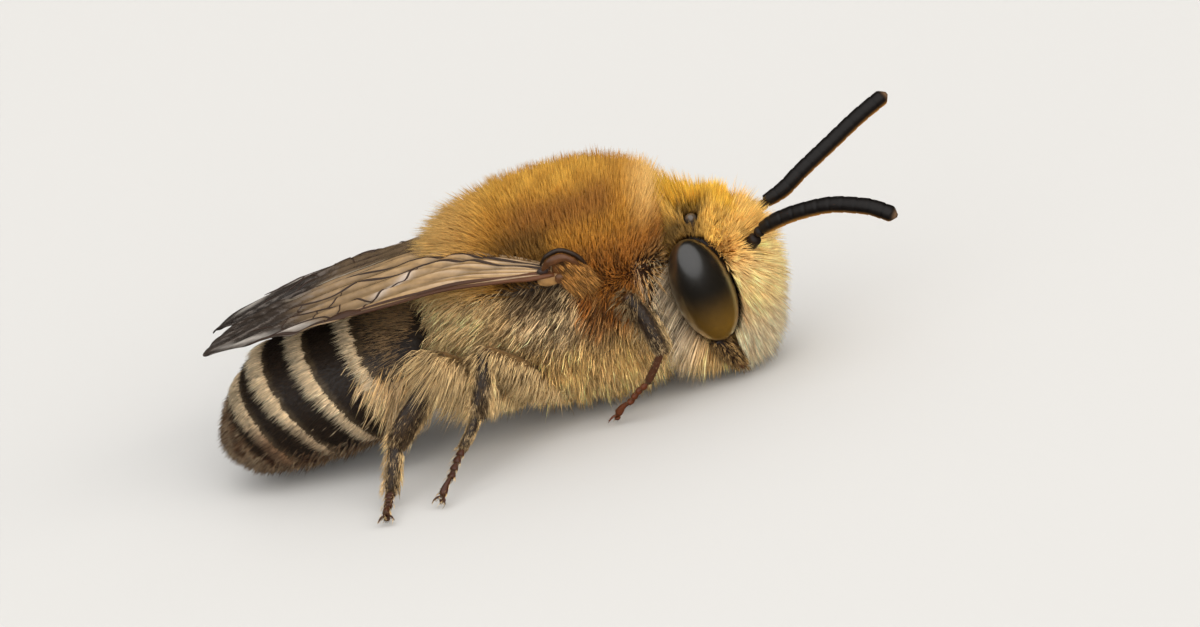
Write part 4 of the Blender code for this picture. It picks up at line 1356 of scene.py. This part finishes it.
def back_length(p, n):
    x, _, z = p.T
    rear, front = soften(-x, 1.2, 2.3), soften(x, 0.9, 1.4) * soften(z, 3.0, 3.5)
    low, top = soften(3.1 - z, 0, 0.6), soften(z, 3.8, 4.1)
    return 0.50 + 0.24 * rear + 0.16 * front - 0.10 * low - 0.07 * top + 0.05 * wave(p, 0.5, 30)


def back_colour(p, n, chance):
    x, _, z = p.T
    # lighter gold over the back, most towards its top: partly golden tips, partly painted rim light
    rim = (0.15 + 0.45 * soften(z, 3.75, 4.1)) * (1 + 0.5 * wave(p, 0.4, 31))
    saddle = soften(z, 3.3, 3.7) * soften(4.15 - z, 0, 0.35)
    saddle = saddle * soften(x, -1.5, -0.6) * soften(1.15 - x, 0, 0.5)
    low = soften(3.6 - z, 0, 0.7) * soften(x, -0.6, 0.2)
    rear = soften(-x, 1.1, 2.1)
    neck = soften(x, 0.95, 1.35) * soften(z, 3.0, 3.5)
    # painted shadow: dark hair just above the wing root
    wing_root_shadow = soften(x, -1.5, -1.0) * soften(-0.1 - x, 0, 0.4) * soften(3.75 - z, 0, 0.3)
    return hues(
        plain(GOLD, p), (GOLD_RIM, rim), (SADDLE, 0.85 * saddle), (RUST, 0.85 * low),
        (PALE_GOLD, 0.85 * rear),
        (LIGHT_STRAW, 0.7 * rear * soften(3.3 - z, 0, 0.6)),
        (PALE_GOLD, 0.8 * neck),
        (UMBER, 0.5 * soften(wave(p, 0.2, 52), 0.1, 0.5) * low),
        (UMBER, 0.7 * wing_root_shadow),
        (STRAW, 0.6 * beside_cheek(p) * soften(3.0 - z, 0, 0.5)),
    )


def side_density(p, n):
    x, _, z = p.T
    under_wing = 1 - 0.6 * soften(z, 2.75, 3.0) * soften(0.1 - x, 0, 0.4)
    highest = 3.20 - 0.20 * soften(x, 0.0, 0.6)
    heights = on_thorax(p) * soften(highest - z, 0, 0.5) * soften(z + 0.35 * n[:, 2], 0.95, 1.25)
    return heights * under_wing * (1 - 0.8 * beside_cheek(p))


def side_lie(p, n):
    x, _, z = p.T
    rear = soften(-x, 0.2, 1.8)
    low = soften(2.2 - z, 0, 0.9)
    front = soften(x, 0.2, 1.0)
    back = -0.75 - 0.45 * rear + 0.60 * low + 0.35 * front
    flow = np.stack([back, 0 * low, -0.35 - 0.60 * low - 0.3 * front], 1)
    way = (0.90 - 0.3 * low)[:, None] * n + flow
    return way, 0.10 * n + flow * 1.2 + (0.10, 0, -0.75)


def side_length(p, n):
    x, _, z = p.T
    collar = soften(x, 0.9, 1.2) * soften(z, 1.2, 1.6)
    reach = 0.64 + 0.20 * soften(-x, 0.6, 2.0) + 0.25 * soften(-x, 1.6, 2.3) - 0.30 * collar
    return reach - 0.14 * soften(z, 2.5, 2.9) + 0.10 * soften(1.8 - z, 0, 0.6) + 0.06 * wave(p, 0.4, 32)


def side_colour(p, n, chance):
    x, _, z = p.T
    rust = soften(x, -0.10, 0.30) * soften(z, 1.8, 2.3) * (0.95 + 0.3 * wave(p, 0.35, 33))
    grey = soften(1.1 - np.abs(x + 0.5), 0, 0.8) * soften(z, 1.7, 2.3)
    dark = soften(wave(p, 0.20, 34), -0.05, 0.35) * soften(z, 1.2, 2.0) * soften(x, -1.7, -0.9)
    collar = soften(x, 1.0, 1.2) * soften(z, 1.3, 1.7)
    # painted shadow: dark hair right under the wing
    shade = soften(z, 2.45, 2.75) * soften(-0.05 - x, 0, 0.3) * soften(x, -1.5, -0.9)
    rear = soften(-x, 0.9, 1.6)
    return hues(
        plain(STRAW, p), (PALE_GOLD, 0.4 + 0.4 * wave(p, 0.5, 35)), (WHITE_GREY, 0.5 * grey),
        (LIGHT_STRAW, 0.9 * rear), (RUST, rust * (1 - 0.7 * collar)), (UMBER, 0.85 * dark),
        (UMBER, 0.7 * shade),
        (WHITE_GREY, 0.6 * beside_cheek(p)),
    )


def belly_density(p, n):
    return on_thorax(p) * soften(1.6 - p[:, 2], 0, 0.5)


def belly_lie(p, n):
    lean = np.stack([-0.10 - 0.2 * soften(-p[:, 0], 0.2, 1.8), 0 * p[:, 0], -0.8 + 0 * p[:, 0]], 1)
    return 0.6 * n + lean, 0.15 * n + lean * 1.6


def belly_length(p, n):
    x, _, z = p.T
    reach = 0.70 + 0.35 * soften(-x, 1.3, 2.1) + 0.06 * wave(p, 0.5, 36)
    return np.minimum(reach, 1.05 * z - 0.02)


def belly_colour(p, n, chance):
    return hues(
        plain(BELLY_STRAW, p), (WHITE_GREY, 0.2 + 0.2 * wave(p, 0.4, 37)),
        (UMBER, 0.55 * soften(wave(p, 0.16, 38), 0.25, 0.5)),
    )


back_paths = []
for half_name, half in SIDES.items():
    back_paths.append(grow(
        "back_coat_" + half_name, skin_surface, half_of(back_density, half), back_lie, back_length,
        back_colour, thorax_unwrap, count=27000, width=0.015, seed=41 + half,
        lock=0.08, gather=0.22, scatter=0.15, root_shade=0.55, streak=0.12,
    ))
    grow(
        "side_coat_" + half_name, skin_surface, half_of(side_density, half), side_lie, side_length,
        side_colour, thorax_unwrap, count=9500, width=0.017, seed=51 + half,
        segments=3, lock=0.13, gather=0.68, scatter=0.2, curl=0.34, root_shade=0.5, streak=0.35,
    )
grow(
    "belly_coat", skin_surface, belly_density, belly_lie, belly_length, belly_colour, thorax_unwrap,
    count=9500, width=0.017, seed=61,
    segments=3, lock=0.12, gather=0.6, scatter=0.13, curl=0.14, root_shade=0.8, streak=0.30,
)


def grow_cap_hair(side_name, side):
    """Soft hair over the front of a wing root cap, hanging down and forward."""
    front, rear = sided(((-0.05, 1.90, 3.30), (0.12, 1.90, 3.16)), side)

    def density(p, n):
        return near_run(p, front, rear, 0.24) * soften(p[:, 0], -0.25, -0.1)

    def lie(p, n):
        return 0.5 * n + (0.5, 0, -0.7), 0.1 * n + (0.55, 0, -1.0)

    def length(p, n):
        return 0.30 + 0.22 * soften(3.3 - p[:, 2], 0, 0.2)

    def colour(p, n, chance):
        return hues(plain(CAP_STRAW, p), (UMBER, 0.7 * soften(wave(p, 0.12, 53), 0.0, 0.4)))

    grow(
        "cap_hair_" + side_name, surface_of(caps[side_name]), density, lie, length, colour, thorax_unwrap,
        count=1500, width=0.014, seed=65 + side,
        lock=0.09, gather=0.6, scatter=0.2, root_shade=0.4, streak=0.3, depth=0.008, own="cap",
    )


for half_name, half in SIDES.items():
    grow_cap_hair(half_name, half)


# ------------------------------------------------------------------ head coat
# A tall golden tuft stands on the crown, golden orange between ocelli and feelers. Cream hair
# fans from the face into a beard, and long white-grey hair hangs behind and under the eyes.
CROWN_GOLD = srgb(240, 186, 60)
FACE_GOLD = srgb(230, 182, 92)
CREAM = srgb(255, 224, 158)
BEARD_WHITE = srgb(255, 240, 208)
FEELER_ROOT = (2.58, 0.45, 2.42)


def on_head(p):
    return p[:, 0] > THORAX_TO


def head_unwrap(p):
    return np.stack([np.arctan2(p[:, 1], p[:, 0] - 2.2) / math.tau + 0.5, (p[:, 2] - 0.3) / 3.0], 1)


def crown_share(p):
    """How far points belong to the crown, 0 on the face to 1 on top."""
    return soften(p[:, 2] - 0.25 * (p[:, 0] - 2.0), 2.42, 2.72)


def behind_share(p):
    """How far points lie behind the eyes, 0 on the face to 1 on the nape."""
    return soften(2.15 - p[:, 0], 0, 0.3)


def crown_density(p, n):
    return on_head(p) * crown_share(p)


def crown_lie(p, n):
    forward = soften(p[:, 0], 1.9, 2.8)
    out = np.stack([-0.08 + 0.60 * forward, 0.05 * p[:, 1], 0.95 - 0.25 * forward], 1)
    return 0.5 * n + out, 0.3 * n + out + (0.05, 0, 0.1)


def by_ocelli(p):
    """How near points lie to an ocellus, 1 beside it."""
    reach = [np.linalg.norm(p - OCELLI[side_name], axis=1) for side_name in SIDES]
    return soften(0.30 - np.min(reach, axis=0), 0, 0.12)


def crown_length(p, n):
    side = soften(np.abs(p[:, 1]), 0.35, 0.85)
    middle = 0.98 - 0.34 * soften(p[:, 0], 1.85, 2.35) - 0.24 * soften(p[:, 0], 2.35, 2.75)
    return (middle * (1 - 0.62 * side) + 0.08 * wave(p, 0.3, 37)) * (1 - 0.6 * by_ocelli(p))


def crown_colour(p, n, chance):
    x, y, _ = p.T
    margin = soften(np.abs(y), 0.55, 0.80) * soften(2.5 - x, 0, 0.35)
    return hues(
        plain(CROWN_GOLD, p), (GOLD_RIM, 0.3 + 0.3 * wave(p, 0.3, 50)),
        (FACE_GOLD, 0.8 * soften(np.abs(y), 0.22, 0.55)),
        (UMBER, 0.8 * margin), (UMBER, 0.8 * by_ocelli(p)),
    )


def face_density(p, n):
    return on_head(p) * (1 - crown_share(p)) * (1 - behind_share(p)) * soften(n[:, 0], -0.15, 0.25)


def face_lie(p, n):
    nearer = np.stack([np.ones(len(p)), np.sign(p[:, 1]), np.ones(len(p))], 1)
    away = p - np.asarray(FEELER_ROOT) * nearer
    away[:, 1] *= 0.35
    way = 0.62 * n + unit(away)
    return way, 0.30 * n + 1.1 * unit(away)


def face_length(p, n):
    _, y, z = p.T
    aside = np.abs(y)
    high = soften(z, 2.15, 2.5)
    reach = 0.70 - 0.30 * high * soften(aside, 0.25, 0.6) - 0.18 * soften(aside, 0.6, 1.0)
    return reach + 0.04 * wave(p, 0.3, 38)


def face_colour(p, n, chance):
    _, y, z = p.T
    high = soften(z, 2.15, 2.6)
    edge = soften(np.abs(y), 0.72, 0.98) * soften(z, 2.3, 2.7)
    return hues(
        plain(CREAM, p), (BEARD_WHITE, 0.8 * soften(2.0 - z, 0, 0.9)), (FACE_GOLD, 0.9 * high),
        (SADDLE, 0.6 * edge), (SADDLE, 0.35 * soften(wave(p, 0.16, 51), 0.2, 0.5)),
    )


def cheek_density(p, n):
    low = soften(1.35 - p[:, 2], 0, 0.3) * (1 - soften(n[:, 0], 0.2, 0.5))
    behind = 2.0 * behind_share(p) * (1 - crown_share(p)) * soften(p[:, 0], 1.58, 1.66)
    behind = behind * soften(np.abs(p[:, 1]), 0.3, 0.8)
    return on_head(p) * np.maximum(behind, low)


def cheek_lie(p, n):
    aside = np.sign(p[:, 1]) * soften(np.abs(p[:, 1]), 0.2, 0.8)
    low = soften(1.4 - p[:, 2], 0, 0.5)
    flow = np.stack([-0.95 + 0.40 * low, aside * (1.25 - 0.95 * low), -0.50 - 0.45 * low], 1)
    return 0.35 * n + flow, 0.10 * n + np.stack([-0.55 + 0.4 * low, 0.20 * aside, -1.0 + 0 * low], 1)


def cheek_length(p, n):
    reach = 1.15 - 0.60 * soften(p[:, 2], 2.45, 2.9) + 0.05 * wave(p, 0.4, 38)
    return np.minimum(reach, 0.95 * p[:, 2] - 0.02)


def cheek_colour(p, n, chance):
    z = p[:, 2]
    return hues(
        plain(WHITE_GREY, p), (PALE_GOLD, 0.8 * soften(1.5 - z, 0, 0.6)),
        (UMBER, 0.75 * soften(z, 2.5, 2.8)),
        (UMBER, 0.6 * soften(wave(p, 0.2, 39), 0.25, 0.5) * soften(z, 1.2, 1.6)),
    )


grow(
    "crown_tuft", skin_surface, crown_density, crown_lie, crown_length, crown_colour, head_unwrap,
    count=13000, width=0.014, seed=71,
    lock=0.10, gather=0.5, scatter=0.14, root_shade=0.7, streak=0.22,
)
grow(
    "face_beard", skin_surface, face_density, face_lie, face_length, face_colour, head_unwrap,
    count=21000, width=0.014, seed=72,
    lock=0.12, gather=0.50, scatter=0.08, root_shade=0.95, streak=0.15,
)
grow(
    "cheek_hair", skin_surface, cheek_density, cheek_lie, cheek_length, cheek_colour, head_unwrap,
    count=13000, width=0.015, seed=73,
    segments=3, lock=0.11, gather=0.6, scatter=0.11, curl=0.10, root_shade=0.6, streak=0.30,
)


# ------------------------------------------------------------------ abdomen coat
# Each plate has short dark hair on its disc and a dense buff band at its rear edge. Long pale
# hair fans back from the first plate's sides, and the tail ends in a rusty fringe.
BUFF = srgb(222, 203, 169)
DISC_HAIR = srgb(58, 47, 37)
TAIL_RUST = srgb(106, 70, 42)
HAZE = srgb(166, 142, 108)


ABDOMEN_HAIR_FROM = -2.66


def on_abdomen(p):
    return p[:, 0] < ABDOMEN_HAIR_FROM


def abdomen_unwrap(p):
    at = abdomen_place(p)
    return np.stack([np.arctan2(p[:, 1], p[:, 2] - 1.6 + 0.12 * (at - 4)) / math.tau + 0.5, at / 9], 1)


def rearward(p):
    """The direction along the abdomen to its tip."""
    at = abdomen_place(p)
    rows = np.asarray(ABDOMEN_RINGS)
    lean = unit(np.stack([rows[:, 0] - rows[:, 2], rows[:, 1] - rows[:, 3]], 1))
    turned_back = np.stack([-lean[:, 1], np.zeros(len(rows)), lean[:, 0]], 1)
    low = np.clip(at.astype(int), 0, len(rows) - 2)
    return unit(turned_back[low] + (turned_back[low + 1] - turned_back[low]) * (at - low)[:, None])


def flank_share(p):
    """The long-haired sides of the first plate."""
    at = abdomen_place(p)
    return soften(4.0 - at, 0, 0.8) * soften(np.abs(p[:, 1]), 0.5, 1.0) + 0.6 * soften(1.6 - at, 0, 0.8)


def disc_density(p, n):
    reach = (0.8 + 0.2 * soften(-p[:, 0], 2.8, 3.6)) * (1 + 0.5 * soften(4.0 - abdomen_place(p), 0.2, 0.6))
    return on_abdomen(p) * (1 - 0.9 * band_share(p)) * soften(p[:, 2] + n[:, 2], 0.2, 0.9) * reach


def disc_lie(p, n):
    return 0.55 * n + rearward(p), 0.35 * n + rearward(p)


def disc_length(p, n):
    return 0.14 + 0.14 * soften(4.0 - abdomen_place(p), 0.3, 1.5) + 0.03 * wave(p, 0.4, 42)


def disc_colour(p, n, chance):
    at = abdomen_place(p)
    return hues(plain(DISC_HAIR, p), (HAZE, 0.95 * soften(4.0 - at, 0.1, 0.8) * soften(p[:, 2], 1.5, 2.2)))


def band_density(p, n):
    share = np.clip(band_share(p) + 0.004 * soften(1.7 - p[:, 2], 0, 0.6), 0, 1)
    behind_waist = soften(abdomen_place(p), 2.6, 3.2)
    return on_abdomen(p) * share * behind_waist * soften(p[:, 2] + 0.8 * n[:, 2], -0.1, 0.5)


def band_lie(p, n):
    along_plate = rearward(p)
    along_plate = unit(along_plate - n * np.sum(along_plate * n, 1)[:, None])
    return 0.34 * n + along_plate, along_plate - 0.02 * n


def band_length(p, n):
    first = soften(4.2 - abdomen_place(p), 0, 0.3)
    low = soften(2.1 - p[:, 2], 0, 1.0)
    return 0.37 + 0.02 * wave(p, 0.5, 43) - 0.11 * low * (1 - first)


def band_colour(p, n, chance):
    at = abdomen_place(p)
    late = soften(at, 6.9, 7.4)
    low = soften(1.9 - p[:, 2], 0, 0.8) * (0.2 + 0.8 * soften(at, 5.4, 6.4))
    return hues(
        plain(BUFF, p), (WHITE_GREY, 0.3 + 0.3 * wave(p, 0.3, 44)), (TAIL_RUST, 0.85 * late),
        (TAIL_RUST, 0.85 * low),
    )


def flank_density(p, n):
    return on_abdomen(p) * np.clip(flank_share(p), 0, 1) * soften(p[:, 2] + n[:, 2], 0.3, 0.9)


def flank_lie(p, n):
    flow = rearward(p) * 0.75 + (0, 0, -0.65)
    return 0.6 * n + flow, 0.12 * n + flow * 1.3


def flank_length(p, n):
    return 0.56 + 0.34 * soften(np.abs(p[:, 1]), 0.7, 1.2)


def flank_colour(p, n, chance):
    return hues(
        plain(STRAW, p), (BUFF, 0.5 + 0.3 * wave(p, 0.3, 45)), (UMBER, 0.3 * soften(p[:, 2], 2.4, 2.8)),
    )


def tail_density(p, n):
    under = soften(0.9 - p[:, 2] - 0.5 * n[:, 2], 0, 0.6)
    return on_abdomen(p) * np.clip(0.15 * under + soften(abdomen_place(p), 7.2, 8.2) * 1.2, 0, 1.4)


def tail_lie(p, n):
    return 0.5 * n + rearward(p), 0.2 * n + rearward(p) + (0, 0, -0.25)


def tail_length(p, n):
    return 0.24 + 0.05 * soften(abdomen_place(p), 7.2, 8.8)


def tail_colour(p, n, chance):
    return hues(
        plain(TAIL_RUST, p), (BUFF, 0.30 + 0.35 * wave(p, 0.3, 46)), (UMBER, 0.3 + 0.3 * wave(p, 0.25, 47)),
    )


grow(
    "plate_down", skin_surface, disc_density, disc_lie, disc_length, disc_colour, abdomen_unwrap,
    count=24000, width=0.013, seed=81,
    segments=1, gather=0.15, root_shade=0.8, depth=0.01,
)
for half_name, half in SIDES.items():
    grow(
        "plate_bands_" + half_name, skin_surface, half_of(band_density, half), band_lie, band_length,
        band_colour, abdomen_unwrap, count=13500, width=0.014, seed=83 + half,
        lock=0.06, gather=0.25, scatter=0.07, root_shade=0.6, streak=0.20,
    )
grow(
    "flank_hair", skin_surface, flank_density, flank_lie, flank_length, flank_colour, abdomen_unwrap,
    count=5800, width=0.019, seed=87,
    segments=3, lock=0.14, gather=0.72, scatter=0.12, curl=0.10, root_shade=0.4, streak=0.3,
)
grow(
    "tail_fringe", skin_surface, tail_density, tail_lie, tail_length, tail_colour, abdomen_unwrap,
    count=7500, width=0.014, seed=88, lock=0.12, gather=0.35, root_shade=0.5,
)


# ------------------------------------------------------------------ leg hair
# The legs carry silvery hair laid along their outer faces and pale yellow fringes along their
# edges, longest on the hind legs and finest on the feet.
FRINGE = srgb(246, 212, 154)
SILVER = srgb(182, 158, 120)
LEG_HAIR = {             # how many, how long and how thick
    "femur": (2100, 0.46, 0.015), "tibia": (2500, 0.40, 0.011), "basitarsus": (1100, 0.28, 0.010),
    "foot": (420, 0.18, 0.008),
}
HIND_FEMUR_HAIR = (3000, 0.80, 0.017)
BUSHY = {"fore": 0.75, "mid": 1.0, "hind": 1.15}       # how full each pair's hair is
LEG_TILES = 5                   # rows and columns of the unwrap, one tile to a leg part


def grow_part_hair(pair, part, side_name, start, end, number):
    """The hair of one part of a leg, which runs from start to end."""
    bushy = BUSHY[pair]
    count, reach, width = HIND_FEMUR_HAIR if (pair, part) == ("hind", "femur") else LEG_HAIR[part]
    run = end - start
    tile = np.array([number % LEG_TILES, number // LEG_TILES]) / LEG_TILES

    def edge(n):
        side_on = soften(np.abs(n[:, 0]), 0.55, 0.95)
        return np.ones(len(n)) if part == "femur" else side_on * (0.35 if pair == "fore" else 1)

    def density(p, n):
        return 1 - 0.4 * edge(n)

    def lie(p, n):
        stand = 0.12 + 0.55 * edge(n)[:, None]
        hang = np.array((-0.2, 0, -0.9 if part == "femur" else -0.1)) * edge(n)[:, None]
        return stand * n + unit(run) + hang, 0.5 * stand * n + unit(run) + 1.5 * hang

    def length(p, n):
        hanging = np.maximum(p[:, 2] - 0.50, 0.14) if part == "femur" else FAR_OFF
        return np.minimum(reach * bushy * (0.42 + 0.58 * edge(n) ** 2), hanging)

    def colour(p, n, chance):
        turn = np.arctan2(p[:, 1] - start[1], p[:, 0] - start[0])
        share = 0.65 if pair == "fore" and part != "femur" else 0.55
        dark = chance.random(len(p)) < share + 0.4 * np.sin(11 * turn)
        pale = edge(n) * (0.7 if part == "femur" else 1)
        knee = soften(p[:, 2], 1.6, 2.1) * (pair == "fore")
        return hues(plain(SILVER, p), (UMBER, 0.85 * dark), (FRINGE, pale), (UMBER, 0.7 * knee))

    def unwrap(p):
        away = ((p - start) @ run) / (run @ run)
        turn = np.arctan2(p[:, 1] - start[1], p[:, 0] - start[0]) / math.tau + 0.5
        return tile + np.clip(np.stack([away, turn], 1), 0, 1) / LEG_TILES

    grow(
        f"{pair}_{part}_hair_{side_name}", surface_of(legs[pair, part, side_name]), density, lie, length,
        colour, unwrap, count=int(count * bushy), width=width, seed=91 + number,
        lock=0.09, gather=0.35, scatter=0.11, root_shade=0.45, streak=0.28, depth=0.008,
    )


def grow_leg_hair():
    number = 0
    for pair, joints in LEG_JOINTS.items():
        for side_name, side in SIDES.items():
            spots = sided(joints, side)
            for part, start, end in zip(LEG_HAIR, spots, spots[1:]):
                grow_part_hair(pair, part, side_name, start, end, number)
                number += 1


grow_leg_hair()


# ------------------------------------------------------------------ jaw hair
# Short bristles cover the outer faces of the jaws. They are dark, with some straw-coloured
# ones among them, and grow straight from the horn, bending down.
JAW_HAIR_LENGTH = 0.16


def grow_jaw_hair():
    def density(p, n):
        return soften(p[:, 2], 0.1, 0.5)

    def lie(p, n):
        return n + (0.1, 0, -0.6), 0.4 * n + (0.1, 0, -1.0)

    def length(p, n):
        return np.full(len(p), JAW_HAIR_LENGTH)

    def colour(p, n, chance):
        return hues(plain(UMBER, p), (STRAW, 0.3 + 0.3 * wave(p, 0.15, 49)))

    for number, (side_name, jaw) in enumerate(jaws.items()):
        grow(
            "jaw_hair_" + side_name, surface_of(jaw), density, lie, length, colour, head_unwrap,
            count=1100, width=0.012, seed=181 + number,
            lock=0.08, gather=0.3, depth=0.01, own="jaw",
        )


grow_jaw_hair()


# ------------------------------------------------------------------ pollen
# Ninety pale yellow pollen grains cling among the hairs on top of the back. Each is a small
# waxy ball, caught part of the way up a hair.
GRAINS = 90
GRAIN_RADIUS = 0.013
POLLEN_ABOVE = 3.9              # height from which the back carries pollen
POLLEN_YELLOW = srgb(255, 236, 170)


def make_pollen():
    chance = np.random.default_rng(7)
    paths = np.concatenate(back_paths)
    high = paths[paths[:, 1, 2] > POLLEN_ABOVE]
    places = high[chance.choice(len(high), GRAINS, replace=False), 1]
    ball, faces = dome(7, 5)
    grains = [(ball * GRAIN_RADIUS * chance.uniform(0.7, 1.3) + place, faces) for place in places]
    spots, made = joined(grains)
    piece = mesh_object("pollen_grains", spots, made)
    tint(piece, plain(POLLEN_YELLOW, spots))
    finish = tinted_finish("pollen_wax", 0.6)
    add_bump(finish, 90000, 0.000003)
    piece.data.materials.append(finish)
    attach(piece, "root")


make_pollen()


# ------------------------------------------------------------------ stage and light
# A pale paper floor and four broad soft lights: the soft box high on the bee's right, a small
# one overhead, a strong warm one low in front of that side, and a weak one behind on the left.
# Only the soft box shows in mirror reflections, so that the eyes stay dark.
FLOOR_REACH = 4.0               # metres from the middle to each edge
FLOOR_PALE = (0.62, 0.61, 0.59, 1)
AIR_COLOUR, AIR_LIGHT = (1.0, 0.98, 0.96, 1), 0.46
# where each light comes from, its power, its breadth in degrees, whether reflections show it, colour
LIGHTS = {
    "soft_box": ((-0.02, -0.62, 0.78), 1.7, 110, True, (1, 1, 1)),
    "top_light": ((0.25, -0.35, 0.90), 0.5, 40, False, (1, 1, 1)),
    "front_light": ((0.74, -0.66, 0.05), 4.3, 80, False, (1, 0.97, 0.92)),
    "rear_light": ((-0.35, 0.60, 0.72), 0.6, 60, False, (1, 1, 1)),
}


def soft_sun(name, place, power, breadth, mirrored, colour):
    lamp = bpy.data.lights.new(name, "SUN")
    lamp.energy = power
    lamp.angle = math.radians(breadth)
    lamp.color = colour
    made = placed(name, lamp)
    made.rotation_euler = Vector(place).to_track_quat("Z", "Y").to_euler()
    made.visible_glossy = mirrored


def make_stage():
    floor = bpy.data.meshes.new("studio_floor")
    corners = [(FLOOR_REACH * x, FLOOR_REACH * y, 0) for x, y in ((-1, -1), (1, -1), (1, 1), (-1, 1))]
    floor.from_pydata(corners, [], [(0, 1, 2, 3)])
    made = placed("studio_floor", floor)
    paper = bpy.data.materials.new("studio_paper")
    paper.use_nodes = True
    shader = paper.node_tree.nodes["Principled BSDF"]
    shader.inputs["Base Color"].default_value = FLOOR_PALE
    shader.inputs["Roughness"].default_value = 0.9
    floor.materials.append(paper)
    made.visible_glossy = False
    world = bpy.data.worlds.new("studio_air")
    world.use_nodes = True
    air = world.node_tree.nodes["Background"]
    air.inputs["Color"].default_value = AIR_COLOUR
    air.inputs["Strength"].default_value = AIR_LIGHT
    world.cycles_visibility.glossy = False
    bpy.context.scene.world = world
    for name, (place, power, breadth, mirrored, colour) in LIGHTS.items():
        soft_sun(name, place, power, breadth, mirrored, colour)
    bpy.context.scene.view_settings.view_transform = "Standard"


make_stage()


# ------------------------------------------------------------------ camera
# A long lens looks at the bee's right side, a little from the front and from above. The camera
# is rolled, so that the bee stands head high, with its feelers to the upper right.
CAMERA_AZIMUTH, CAMERA_ELEVATION, CAMERA_ROLL = 10, 20, 17      # degrees
CAMERA_DISTANCE = 109.09
CAMERA_LENS, CAMERA_SENSOR = 180, 36
CAMERA_AIM = (0.0, 0.0, 1.6)


def make_camera():
    turn, rise, roll = (math.radians(a) for a in (CAMERA_AZIMUTH, CAMERA_ELEVATION, CAMERA_ROLL))
    back = Vector((math.sin(turn) * math.cos(rise), -math.cos(turn) * math.cos(rise), math.sin(rise)))
    level = Vector((math.cos(turn), math.sin(turn), 0))
    above = back.cross(level)
    right = level * math.cos(roll) - above * math.sin(roll)
    up = level * math.sin(roll) + above * math.cos(roll)
    lens = bpy.data.cameras.new("camera")
    lens.lens = CAMERA_LENS
    lens.sensor_width = CAMERA_SENSOR
    lens.clip_start = 0.005
    lens.clip_end = 20
    made = placed("camera", lens)
    place = Vector(in_frame(CAMERA_AIM)) + back * CAMERA_DISTANCE * MM
    made.matrix_world = Matrix.Translation(place) @ Matrix((right, up, back)).transposed().to_4x4()
    bpy.context.scene.camera = made


make_camera()
